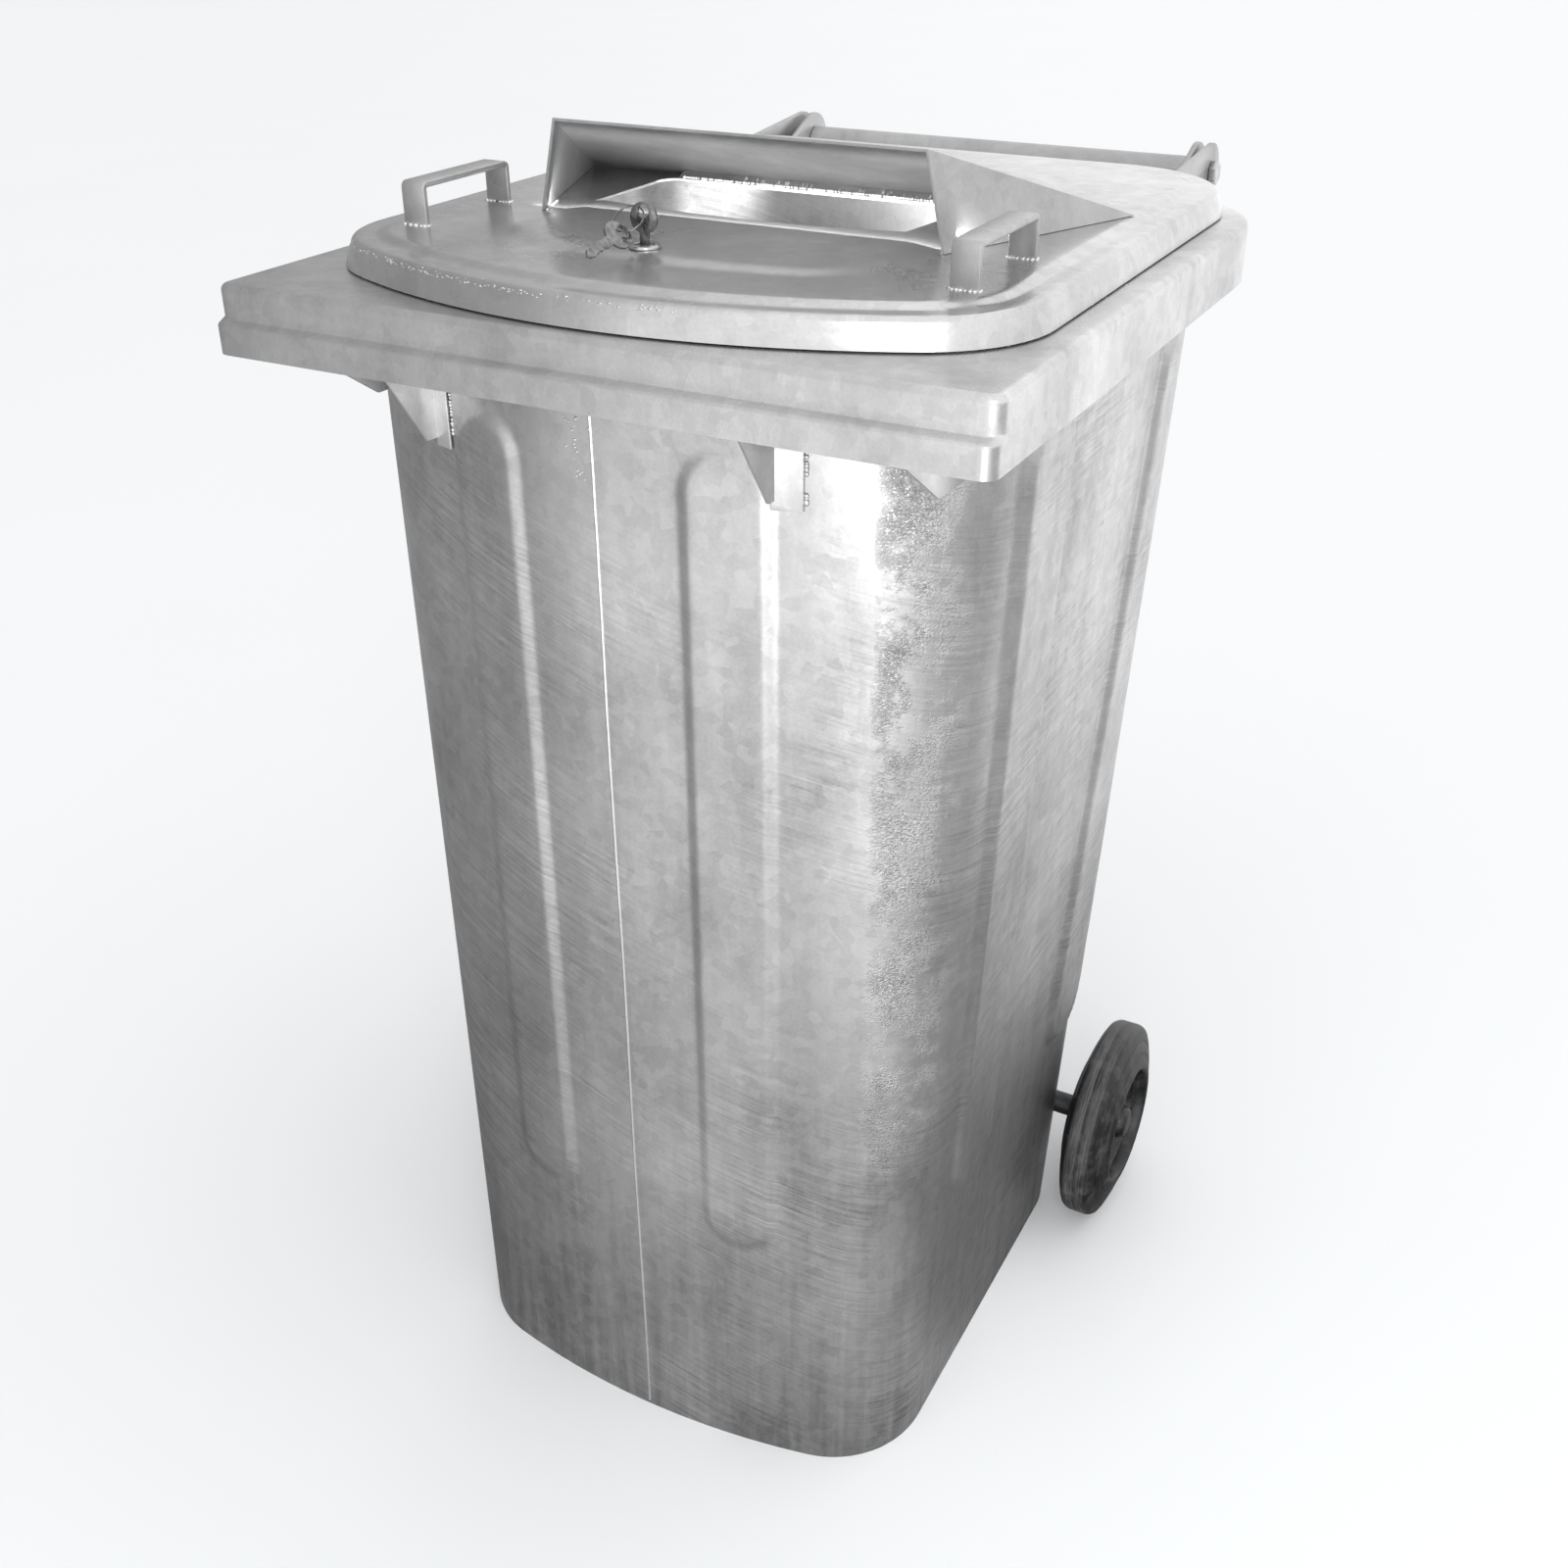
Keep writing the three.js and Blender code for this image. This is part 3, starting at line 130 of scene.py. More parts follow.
world = bpy.data.worlds.new("room")
world.use_nodes = True
bpy.context.scene.world = world
bpy.context.scene.view_settings.view_transform = "Standard"
room_direction = add_node(world, "ShaderNodeTexCoord").outputs["Generated"]
room_sides = add_node(world, "ShaderNodeSeparateXYZ", {0: room_direction})
room_values = {"Value": room_sides, "From Min": ROOM_TURN[0], "From Max": ROOM_TURN[1]}
room_values.update({"To Min": ROOM_DARK, "To Max": ROOM_LIGHT})
room_bright = add_node(world, "ShaderNodeMapRange", room_values, interpolation_type="SMOOTHSTEP")
seen = add_node(world, "ShaderNodeLightPath").outputs["Is Camera Ray"]
room_seen = add_node(world, "ShaderNodeMix", {0: seen, 2: room_bright, 3: BACKDROP})
background = world.node_tree.nodes["Background"]
feed(world, background, {"Color": (1, 1, 1, 1), "Strength": room_seen})
for light_values in SOFT_LIGHTS:
    soft_light(*light_values)


def ground(name, material):
    """A wide flat sheet at the floor's height, which isn't part of the bin."""
    bm = bmesh.new()
    bmesh.ops.create_grid(bm, x_segments=2, y_segments=2, size=GROUND_HALF)
    mesh = bpy.data.meshes.new(name)
    bm.to_mesh(mesh)
    bm.free()
    mesh.materials.append(material)
    made = bpy.data.objects.new(name, mesh)
    bpy.context.scene.collection.objects.link(made)
    return made


floor_material, floor_shader, floor_place = new_material("matt_white_backdrop")
floor_grain = add_node(floor_material, "ShaderNodeTexNoise", {"Vector": floor_place, "Scale": 1.5})
floor_shades = {0: floor_grain, 6: linear("#F1F3F5"), 7: linear("#F3F5F7")}
floor_tone = add_node(floor_material, "ShaderNodeMix", floor_shades, data_type="RGBA")
feed(floor_material, floor_shader, {"Base Color": floor_tone.outputs[2], "Roughness": 0.9})
floor = ground("floor", floor_material)
floor.visible_glossy = False

# A glowing sheet that only reflections see, a painted reflection of the ground: its glow is
# painted darker near the bin as painted shade, and darker to the left and to the right.
painted_reflection_material, yard_shader, yard_place = new_material("glowing_ground_painted_into_reflections")
yard_sides = add_node(painted_reflection_material, "ShaderNodeSeparateXYZ", {0: yard_place})
yard_length = add_node(painted_reflection_material, "ShaderNodeVectorMath", {0: yard_place}, operation="LENGTH")
yard_radius = yard_length.outputs["Value"]
yard_ratio = {0: yard_sides, 1: yard_radius}
yard_turn = add_node(painted_reflection_material, "ShaderNodeMath", yard_ratio, operation="DIVIDE")
painted_reflection_strength = None
for measure, ranges, blend in (
    (yard_turn, REFLECTED_GROUND_SHADE_BY_SIDE[0], "SMOOTHSTEP"),
    (yard_turn, REFLECTED_GROUND_SHADE_BY_SIDE[1], "SMOOTHSTEP"),
    (yard_radius, REFLECTED_GROUND_SHADE_NEAR_BIN, "LINEAR"),
):
    names = ("From Min", "From Max", "To Min", "To Max")
    yard_values = {"Value": measure, **dict(zip(names, ranges))}
    part = add_node(painted_reflection_material, "ShaderNodeMapRange", yard_values, interpolation_type=blend)
    if painted_reflection_strength:
        both = {0: painted_reflection_strength, 1: part}
        part = add_node(painted_reflection_material, "ShaderNodeMath", both, operation="MULTIPLY")
    painted_reflection_strength = part
painted_reflection_glow = {"Emission Color": (1, 1, 1, 1), "Emission Strength": painted_reflection_strength}
feed(painted_reflection_material, yard_shader, {"Base Color": (0, 0, 0, 1), **painted_reflection_glow})
yard = ground("yard", painted_reflection_material)
yard.visible_camera = False
yard.visible_diffuse = False
yard.visible_shadow = False

# ---- Body shell ----
# One bent sheet of 2 mm steel, closed by a lap seam at the front, tapered to the foot, with long
# beads pressed outward for stiffness and a step in the lower rear for the axle. Hot-dip galvanized
# after welding, which leaves a cloudy grey zinc skin with faint crystals, runs and wiping marks.

SEAM_PLANE = -103.5  # mm from the bin's middle to the plane of the front seam
BODY_HEIGHT = 991
BODY_FOOT = dict(half=222, front=-238, bow=713, front_radius=88, rear=254, rear_radius=88)
BODY_MOUTH = dict(half=259, front=-242, bow=436, front_radius=120, rear=314, rear_radius=110)
BODY_COLUMNS = (84, 24, 100, 40, 6)  # steps: bow, front corner, side, rear corner, rear
BODY_SHEET = 2.0
BEAD_FLANK = 11.0
FRONT_BEAD = dict(rise=3.4, half_width=34, low=229, high=916)
SIDE_BEAD = dict(rise=5.8, half_width=47, low=234, high=927)
FRONT_BEAD_X = 94
SIDE_BEAD_Y = -74
REAR_BEAD_Y = 124
REAR_BEAD_LEAN = 0.11
FRONT_WALL_Y = -150
REAR_WALL_X = 150
RECESS_WALL = 192
RECESS_HEIGHT = 150
RECESS_SLOPE = 0.7
TOUCHING = 1e-5  # metres


def mm(x, y, z):
    """A point drawn in millimetres from the seam's plane, in the bin's own metres."""
    return Vector((x / 1000, (y + SEAM_PLANE) / 1000, z / 1000))


def arc(centre_x, centre_y, radius, start, end, steps):
    """Points along an arc, in degrees, without its last."""
    turns = [radians(start + (end - start) * i / steps) for i in range(steps)]
    return [(centre_x + radius * cos(t), centre_y + radius * sin(t)) for t in turns]


def straight(start, end, steps):
    """Points along a line, without its last."""
    shares = [i / steps for i in range(steps)]
    return [tuple(a + (b - a) * s for a, b in zip(start, end)) for s in shares]


def bowed_plan(plan, grow, columns):
    """A closed plan with a bowed front, round corners, straight sides and a straight rear."""
    half = plan["half"] + grow
    bow = plan["bow"] + grow
    front_radius = plan["front_radius"] + grow
    rear = plan["rear"] + grow
    rear_radius = plan["rear_radius"] + grow
    bow_centre = plan["front"] + plan["bow"]
    corner_x = half - front_radius
    corner_drop = sqrt((bow - front_radius) ** 2 - corner_x**2)
    meeting = -degrees(atan2(corner_drop, corner_x))
    corner_y = bow_centre - corner_drop
    right = arc(0, bow_centre, bow, -90, meeting, columns[0])
    right += arc(corner_x, corner_y, front_radius, meeting, 0, columns[1])
    right += straight((half, corner_y), (half, rear - rear_radius), columns[2])
    right += arc(half - rear_radius, rear - rear_radius, rear_radius, 0, 90, columns[3])
    right += straight((half - rear_radius, rear), (0, rear), columns[4])
    right.append((0, rear))
    return right + [(-x, y) for x, y in reversed(right[1:-1])]


def ring_of(bm, points):
    """A closed ring of edges through points."""
    verts = [bm.verts.new(p) for p in points]
    return [bm.edges.new((a, b)) for a, b in zip(verts, verts[1:] + verts[:1])]


def raise_ring(bm, edges, points):
    """Extrudes a closed ring of edges and moves the new ring to other points."""
    order = [edges[0].verts[0]]
    for edge in edges:
        order.append(edge.other_vert(order[-1]))
    made = bmesh.ops.extrude_edge_only(bm, edges=edges)["geom"]
    new_verts = {v for v in made if isinstance(v, bmesh.types.BMVert)}
    ring = []
    for old, point in zip(order[:-1], points):
        partner = next(e.other_vert(old) for e in old.link_edges if e.other_vert(old) in new_verts)
        partner.co = point
        ring.append(partner)
    return [bm.edges.get((a, b)) for a, b in zip(ring, ring[1:] + ring[:1])]


def soft_step(value):
    """Rises smoothly from 0 to 1."""
    value = min(max(value, 0.0), 1.0)
    return value * value * (3 - 2 * value)


def ramp(value):
    """Rises evenly from 0 to 1 with eased ends."""
    value = min(max(value, 0.0), 1.0)
    ease = 0.22
    if value < ease:
        return value**2 / (2 * ease * (1 - ease))
    if value > 1 - ease:
        return 1 - (1 - value) ** 2 / (2 * ease * (1 - ease))
    return (value - ease / 2) / (1 - ease)


def bead_rise(across, height, rise, half_width, low, high):
    """How far a pressed bead with round ends stands out at a place of the wall."""
    middle = min(max(height, low + half_width), high - half_width)
    depth = half_width - hypot(across, height - middle)
    return rise * ramp(depth / BEAD_FLANK)


def body_beads(x, y, z):
    """The rise of the nearest bead: one at each side of the seam, two on each side of the bin."""
    if y < FRONT_WALL_Y:
        return bead_rise(abs(x) - FRONT_BEAD_X, z, **FRONT_BEAD)
    if abs(x) < REAR_WALL_X:
        return 0.0
    side = bead_rise(y - SIDE_BEAD_Y, z, **SIDE_BEAD)
    return side + bead_rise(y - REAR_BEAD_Y - REAR_BEAD_LEAN * z, z, **SIDE_BEAD)


def face_outwards(bm):
    """Turns all faces of a skin away from the bin's middle."""
    bmesh.ops.recalc_face_normals(bm, faces=bm.faces[:])
    if sum(f.normal.dot(f.calc_center_median()) * f.calc_area() for f in bm.faces) < 0:
        bmesh.ops.reverse_faces(bm, faces=bm.faces[:])


def add_piece(name, bm, body, material, crease=35):
    """Makes a finished piece of a mesh: smooth but for its sharp edges, and riding on a body."""
    mesh = bpy.data.meshes.new(name)
    bm.to_mesh(mesh)
    bm.free()
    mesh.shade_smooth()
    mesh.set_sharp_from_angle(angle=radians(crease))
    mesh.materials.append(material)
    made = bpy.data.objects.new(name, mesh)
    bpy.context.scene.collection.objects.link(made)
    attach(made, body)
    return made


def settle(piece, crease=35):
    """Turns a piece's modifiers into its mesh and marks its sharp edges."""
    settled = piece.evaluated_get(bpy.context.evaluated_depsgraph_get())
    finished = bpy.data.meshes.new_from_object(settled)
    piece.modifiers.clear()
    piece.data = finished
    finished.shade_smooth()
    finished.set_sharp_from_angle(angle=radians(crease))


def give_thickness(piece, sheet):
    """Turns a skin into a sheet of even thickness on its inner side."""
    wall = piece.modifiers.new("sheet", "SOLIDIFY")
    wall.thickness = sheet / 1000
    wall.offset = -1
    wall.use_even_offset = True
    settle(piece)


def galvanized_steel(name, dark, light, polish, brush, marks, cloud_size, pits_and_foot_shade=0.0, metal=0.88):
    """Hot-dip zinc: cloudy patches, crystals about 9 mm wide, soft runs down the sheet and fine
    marks of brushing along a slant, in degrees. polish is the roughness of its brightest parts,
    marks is how strong the brushing is, and crust how much pitted zinc there is and how much
    painted shade darkens the foot.
    metal is the share that isn't dull patina, and cloud_size is in mm."""
    material, shader, place = new_material(name)
    turn = {"Vector": place, "Rotation": (0, radians(brush), 0)}
    along = add_node(material, "ShaderNodeMapping", turn)
    # Each pattern's repeats in a metre, how much closer they lie upwards or across the brushing,
    # and its detail and roughness. Runs are 38 mm wide and 240 mm long, grit is 2.6 mm, and the
    # brushing is 2.4 mm wide and 71 mm long, in handled patches of 200 mm.
    patterns = [
        ("cloud", place, 1000 / cloud_size, 1, 5.0, 0.6),
        ("runs", place, 26.0, 0.16, 5.0, 0.62),
        ("brushing", along, 14.0, 30, 7.0, 0.75),
        ("handled", along, 5.0, 1, 4.0, 0.6),
        ("grit", place, 380.0, 1, 3.0, 0.7),
    ]
    if pits_and_foot_shade:  # blisters of 45 mm with pits of 2 mm, and drips 11 mm wide and 210 mm long that streak the painted shade at the foot
        patterns += [
            ("drips", place, 95.0, 0.05, 3.0, 0.6),
            ("blisters", place, 22.0, 1, 5.0, 0.75),
            ("pits", place, 480.0, 1.4, 3.0, 0.75),
        ]
    zinc = {}
    for layer, source, repeats, closer, detail, rough in patterns:
        spread = {"Vector": source, "Scale": (1, 1, closer)}
        where = add_node(material, "ShaderNodeMapping", spread)
        values = {"Vector": where, "Scale": repeats, "Detail": detail, "Roughness": rough}
        zinc[layer] = add_node(material, "ShaderNodeTexNoise", values)
    crystals = add_node(material, "ShaderNodeTexVoronoi", {"Vector": place, "Scale": 110.0})
    crystal = add_node(material, "ShaderNodeSeparateColor", {"Color": crystals.outputs["Color"]})

    # What is multiplied to make each mask: a measure, and its range from and to, low and high.
    masks = {
        "streaks": [
            (zinc["brushing"], 0.35, 0.65, -0.5, 0.5),
            (zinc["handled"], 0.44, 0.68, 0.0, 1.0),
        ]
    }
    if pits_and_foot_shade:
        sides = add_node(material, "ShaderNodeSeparateXYZ", {0: place})
        masks["pits"] = [
            (sides.outputs["X"], 0.185, 0.2, 0.0, 1.0),
            (sides.outputs["X"], 0.24, 0.215, 0.0, 1.0),
            (sides.outputs["Y"], -0.17, -0.22, 0.0, 1.0),
            (sides.outputs["Z"], 0.28, 0.42, 0.0, 1.0),
            (zinc["blisters"], 0.44, 0.6, 0.0, 1.0),
            (zinc["pits"], 0.4, 0.62, -0.6, 1.0),
        ]
        # Painted shade: the zinc is darkened towards the foot, from 0.5 m down, and the drips
        # lighten it in streaks.
        masks["foot"] = [
            (sides.outputs["Z"], 0.5, 0.0, 0.0, 1.0),
            (zinc["drips"], 0.25, 0.7, 1.0, 0.35),
        ]
    for layer, factors in masks.items():
        mask = None
        for measure, low, high, start, end in factors:
            ranges = {"From Min": low, "From Max": high, "To Min": start, "To Max": end}
            factor = add_node(material, "ShaderNodeMapRange", {"Value": measure, **ranges})
            if mask:
                both = {0: mask, 1: factor}
                factor = add_node(material, "ShaderNodeMath", both, operation="MULTIPLY")
            mask = factor
        zinc[layer] = mask

    tones = [(zinc["cloud"], 1.0), (zinc["runs"], 0.5), (crystal, 0.12)]
    tones += [(zinc["streaks"], marks), (zinc["grit"], 0.25)]
    heights = [(zinc["grit"], 0.16), (zinc["streaks"], 0.4 * marks)]
    if pits_and_foot_shade:
        # Pits darken the corner band, and painted shade darkens the foot.
        tones += [(zinc["pits"], -0.36 * pits_and_foot_shade), (zinc["foot"], -0.4 * pits_and_foot_shade)]
        heights.append((zinc["pits"], 1.5 * pits_and_foot_shade))
    sums = []
    for total, layers in ((-0.38, tones), (zinc["cloud"], heights)):
        for layer, strength in layers:
            values = {0: layer, 1: strength, 2: total}
            total = add_node(material, "ShaderNodeMath", values, operation="MULTIPLY_ADD")
        sums.append(total)
    tone = add_node(material, "ShaderNodeClamp", {"Value": sums[0]})
    shades = {0: tone, 6: linear(dark), 7: linear(light)}
    colour = add_node(material, "ShaderNodeMix", shades, data_type="RGBA")
    gloss = {"Value": tone, "From Min": 0.15, "From Max": 0.85}
    gloss.update({"To Min": polish + 0.14, "To Max": polish})
    relief = {"Height": sums[1], "Strength": 0.45, "Distance": 0.0008}
    skin = {
        "Base Color": colour.outputs[2],
        "Roughness": add_node(material, "ShaderNodeMapRange", gloss),
        "Normal": add_node(material, "ShaderNodeBump", relief),
        "Metallic": metal,
    }
    feed(material, shader, skin)
    return material


# The body's zinc is darkened towards the foot with painted shade.
body_zinc = galvanized_steel(
    "hot_dip_galvanized_body", "#7E7E7E", "#E6E6E6", 0.3, -17, 0.6, 190, 1.0, 0.94
)

body_bm = bmesh.new()
body_heights = [*range(0, 226, 25), *range(229, 290, 4), *range(300, 861, 28)]
body_heights += [*range(866, 931, 4), 945, 960, 975, BODY_HEIGHT]


def body_ring(height, grow=0.0, columns=BODY_COLUMNS):
    """The body's section at a height."""
    share = height / BODY_HEIGHT
    foot = bowed_plan(BODY_FOOT, grow, columns)
    mouth = bowed_plan(BODY_MOUTH, grow, columns)
    return [
        mm(a[0] + (b[0] - a[0]) * share, a[1] + (b[1] - a[1]) * share, height)
        for a, b in zip(foot, mouth)
    ]


body_edges = ring_of(body_bm, body_ring(0))
for height in body_heights[1:]:
    body_edges = raise_ring(body_bm, body_edges, body_ring(height))
face_outwards(body_bm)
body_bm.normal_update()
bead_moves = []
for vert in body_bm.verts:
    x, y, z = vert.co.x * 1000, vert.co.y * 1000 - SEAM_PLANE, vert.co.z * 1000
    bead_moves.append((vert, vert.normal * body_beads(x, y, z) / 1000))
for vert, move in bead_moves:
    vert.co += move

recess_corner = mm(0, RECESS_WALL, RECESS_HEIGHT)
recess_roof = Vector((0, -RECESS_SLOPE, 1)).normalized()
for normal in (recess_roof, Vector((0, 1, 0))):
    everything = body_bm.verts[:] + body_bm.edges[:] + body_bm.faces[:]
    bmesh.ops.bisect_plane(
        body_bm, geom=everything, dist=1e-6, plane_co=recess_corner, plane_no=normal
    )
behind = []
for face in body_bm.faces:
    offset = face.calc_center_median() - recess_corner
    if offset.y > 0 and offset.dot(recess_roof) < 0:
        behind.append(face)
bmesh.ops.delete(body_bm, geom=behind, context="FACES")


def open_edges(bm, test):
    """The open edges whose both ends pass a test."""
    rim = [e for e in bm.edges if e.is_boundary]
    return [e for e in rim if all(test(v.co - recess_corner) for v in e.verts)]


def loose_ends(edges, test):
    """The ends among some edges' corners that pass a test."""
    return [v for v in {v for e in edges for v in e.verts} if test(v.co - recess_corner)]


roof_edges = open_edges(
    body_bm, lambda p: abs(p.dot(recess_roof)) < TOUCHING and p.y > -TOUCHING
)
fold = body_bm.edges.new(loose_ends(roof_edges, lambda p: abs(p.y) < TOUCHING))
bmesh.ops.contextual_create(body_bm, geom=[*roof_edges, fold])
wall_edges = open_edges(body_bm, lambda p: abs(p.y) < TOUCHING and p.z < TOUCHING)
sill = body_bm.edges.new(loose_ends(wall_edges, lambda p: p.z + recess_corner.z < TOUCHING))
bmesh.ops.contextual_create(body_bm, geom=[*set(wall_edges + [fold]), sill])
face_outwards(body_bm)
body_skin = add_piece("body_skin", body_bm, "bin_body", body_zinc)
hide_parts("body_shell")


def surface_at(piece, start, direction):
    """Where a line first meets a piece, and the surface's direction there."""
    found, place, normal, _ = piece.ray_cast(Vector(start), Vector(direction))
    return (place, normal) if found else (None, None)


# ---- Front seam ----
# The two edges of the bent sheet lap down the middle of the front and are seam welded from the
# foot to the rim, which leaves a thin ridge that catches the light.

SEAM_HALF_WIDTH = 1.5
SEAM_RISE = 0.8
SEAM_HEIGHTS = range(4, 936, 6)
SEAM_SWAY = 0.4
SEAM_SWAY_LENGTH = 61.0

seam_bm = bmesh.new()
seam_profile = [(-1.0, -0.6), (-0.6, 0.5), (0, 1.0), (0.6, 0.5), (1.0, -0.6)]
seam_rows = []
seam_rng = random.Random(7)
for height in SEAM_HEIGHTS:
    wall, _ = surface_at(body_skin, mm(0, -500, height), (0, 1, 0))
    lump = 0.8 + 0.35 * seam_rng.random()
    sway = SEAM_SWAY * sin(height / SEAM_SWAY_LENGTH)
    row = []
    for u, v in seam_profile:
        out = Vector(((u * SEAM_HALF_WIDTH + sway) / 1000, -v * lump * SEAM_RISE / 1000, 0))
        row.append(seam_bm.verts.new(wall + out))
    seam_rows.append(row)
seam_edges = []
for row in seam_rows:
    seam_edges += [seam_bm.edges.new((a, b)) for a, b in zip(row, row[1:] + row[:1])]
bmesh.ops.bridge_loops(seam_bm, edges=seam_edges)
bmesh.ops.holes_fill(seam_bm, edges=seam_bm.edges[:])
bmesh.ops.recalc_face_normals(seam_bm, faces=seam_bm.faces[:])
bright_zinc = galvanized_steel("galvanized_weld", "#C2C2C2", "#F4F4F4", 0.22, 20, 0.1, 60)
add_piece("front_seam", seam_bm, "bin_body", bright_zinc)

# ---- Floor pan, keeper and axle brackets ----
# Plain folded and cut plates inside and under the body, welded in before the zinc bath. The pan's
# and the keeper's shapes are right in the frame and only get a dull zinc skin. The brackets' cut
# edges are broken as well.

inner_zinc = galvanized_steel(
    "galvanized_inner_sheet", "#A0A0A0", "#D8D8D8", 0.4, 10, 0.1, 120, 0.0, 0.5
)


def finish_plate(node, material):
    """Gives a plate of the frame its material."""
    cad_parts[node].data.materials.clear()
    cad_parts[node].data.materials.append(material)


for plate in ("floor_pan", "lock_keeper"):
    finish_plate(plate, inner_zinc)

FLAT_ANGLE = 0.6  # degrees below which two faces are one flat
EDGE_ANGLE = 28  # degrees above which an edge is a cut edge


def eased_copy(node, radius, body, material, crease=35):
    """A plate of the frame with its cut edges broken, as after grinding and the zinc bath."""
    bm = bmesh.new()
    bm.from_mesh(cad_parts[node].data)
    bmesh.ops.remove_doubles(bm, verts=bm.verts[:], dist=2e-6)
    bmesh.ops.dissolve_limit(
        bm, angle_limit=radians(FLAT_ANGLE), verts=bm.verts[:], edges=bm.edges[:]
    )
    sharp = [e for e in bm.edges if e.is_manifold and e.calc_face_angle(0.0) > radians(EDGE_ANGLE)]
    bmesh.ops.bevel(
        bm,
        geom=sharp,
        offset=radius / 1000,
        offset_type="OFFSET",
        affect="EDGES",
        segments=2,
        profile=0.5,
        material=-1,
        clamp_overlap=True,
    )
    made = add_piece(node + "_eased", bm, body, material, crease)
    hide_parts(node)
    return made


for side in ("left", "right"):
    eased_copy("axle_bracket_" + side, 0.8, "bin_body", inner_zinc)

# ---- Rim frame ----
# A folded channel of 2 mm sheet welded round the mouth, stepped along its front, with soft folds
# and its open side down. The zinc is brushed a little brighter here than on the body.

RIM_BASE = 935
RIM_TOP = 981.5
RIM_HALF_WIDTH = 290
RIM_FRONT = -271
RIM_REAR = 345
RIM_FRONT_RADIUS = 11
RIM_REAR_RADIUS = 95
RIM_STEP_BACK = 8.0
RIM_STEP_LOW = 954.5
RIM_STEP_HIGH = 959.5
RIM_FOLD = 5.0
RIM_SHEET = 2.0


def rim_plan(inset, front, height):
    """The rim's outline at a height: straight, with small front and large rear corners."""
    half = RIM_HALF_WIDTH - inset
    near = front + inset
    far = RIM_REAR - inset
    small = RIM_FRONT_RADIUS - inset
    large = RIM_REAR_RADIUS - inset
    right = straight((0, near), (half - small, near), 8)
    right += arc(half - small, near + small, small, -90, 0, 10)
    right += straight((half, near + small), (half, far - large), 12)
    right += arc(half - large, far - large, large, 0, 90, 24)
    right += straight((half - large, far), (0, far), 6)
    right.append((0, far))
    outline = right + [(-x, y) for x, y in reversed(right[1:-1])]
    return [mm(x, y, height) for x, y in outline]


rim_bm = bmesh.new()
rim_rows = [(0, 0, RIM_BASE), (0, 0, 944), (0, 0, RIM_STEP_LOW - 1)]
for i in range(9):
    height = RIM_STEP_LOW + (RIM_STEP_HIGH - RIM_STEP_LOW) * i / 8
    rim_rows.append((0, RIM_STEP_BACK * ramp(i / 8), height))
rim_rows += [(0, RIM_STEP_BACK, 969), (0, RIM_STEP_BACK, RIM_TOP - RIM_FOLD)]
for i in range(1, 6):
    bend = pi / 2 * i / 5
    height = RIM_TOP - RIM_FOLD * (1 - sin(bend))
    rim_rows.append((RIM_FOLD * (1 - cos(bend)), RIM_STEP_BACK, height))
rim_rows.append((RIM_FOLD + 2, RIM_STEP_BACK, RIM_TOP))
rim_edges = None
for inset, back, height in rim_rows:
    outline = rim_plan(inset, RIM_FRONT + back, height)
    rim_edges = raise_ring(rim_bm, rim_edges, outline) if rim_edges else ring_of(rim_bm, outline)
mouth_edges = ring_of(rim_bm, body_ring(RIM_TOP, 0.3, (12, 12, 12, 14, 4)))
bmesh.ops.triangle_fill(rim_bm, use_beauty=True, edges=rim_edges + mouth_edges, normal=(0, 0, 1))
face_outwards(rim_bm)
rim_zinc = galvanized_steel("galvanized_rim", "#8C8C8C", "#E8E8E8", 0.24, 84, 0.08, 150)
rim_skin = add_piece("rim_skin", rim_bm, "bin_body", rim_zinc)
give_thickness(rim_skin, RIM_SHEET)
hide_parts("rim_frame")
give_thickness(body_skin, BODY_SHEET)

# ---- Comb ribs ----
# Four upright webs between the rim's skirt and the body, which a lorry's lifting comb catches.
# Cut from 2.5 mm plate, two of them with a flange, and spot welded to the body.

RIB_FLANGE_END = 144.5  # mm across the front to the free edge of the right rib's flange
RIB_TRIM = (0.04, 0.16, 0.12)  # metres, what is cut off that flange
LEFT_RIB_END = -126.5
SPATTER_COUNT = 26
SPATTER_X = (-14, 4)  # middle and spread
SPATTER_Z = (880, 922)


def cut_away(piece, cutter_bm):
    """Cuts a closed shape out of a piece."""
    mesh = bpy.data.meshes.new("cutter")
    cutter_bm.to_mesh(mesh)
    cutter_bm.free()
    cutter = bpy.data.objects.new("cutter", mesh)
    bpy.context.scene.collection.objects.link(cutter)
    cut = piece.modifiers.new("cut", "BOOLEAN")
    cut.object = cutter
    cut.solver = "EXACT"
    settle(piece)
    bpy.data.objects.remove(cutter)


# The ribs get a lighter copy of the body's zinc, lightened as a painted highlight of the glare on
# their webs.
rib_zinc_painted_highlight = galvanized_steel("galvanized_comb_rib_painted_highlight", "#A8A8A8", "#F2F2F2", 0.3, 70, 0.08, 90)
for rib in ("left_outer", "left_inner", "right_inner", "right_outer"):
    plate = eased_copy("comb_rib_" + rib, 0.7, "bin_body", rib_zinc_painted_highlight)
    if rib == "right_inner":
        trim_bm = bmesh.new()
        middle = mm(RIB_FLANGE_END + RIB_TRIM[0] * 500, -220, 910)
        box = Matrix.Translation(middle) @ Matrix.Diagonal((*RIB_TRIM, 1))
        bmesh.ops.create_cube(trim_bm, size=1.0, matrix=box)
        cut_away(plate, trim_bm)


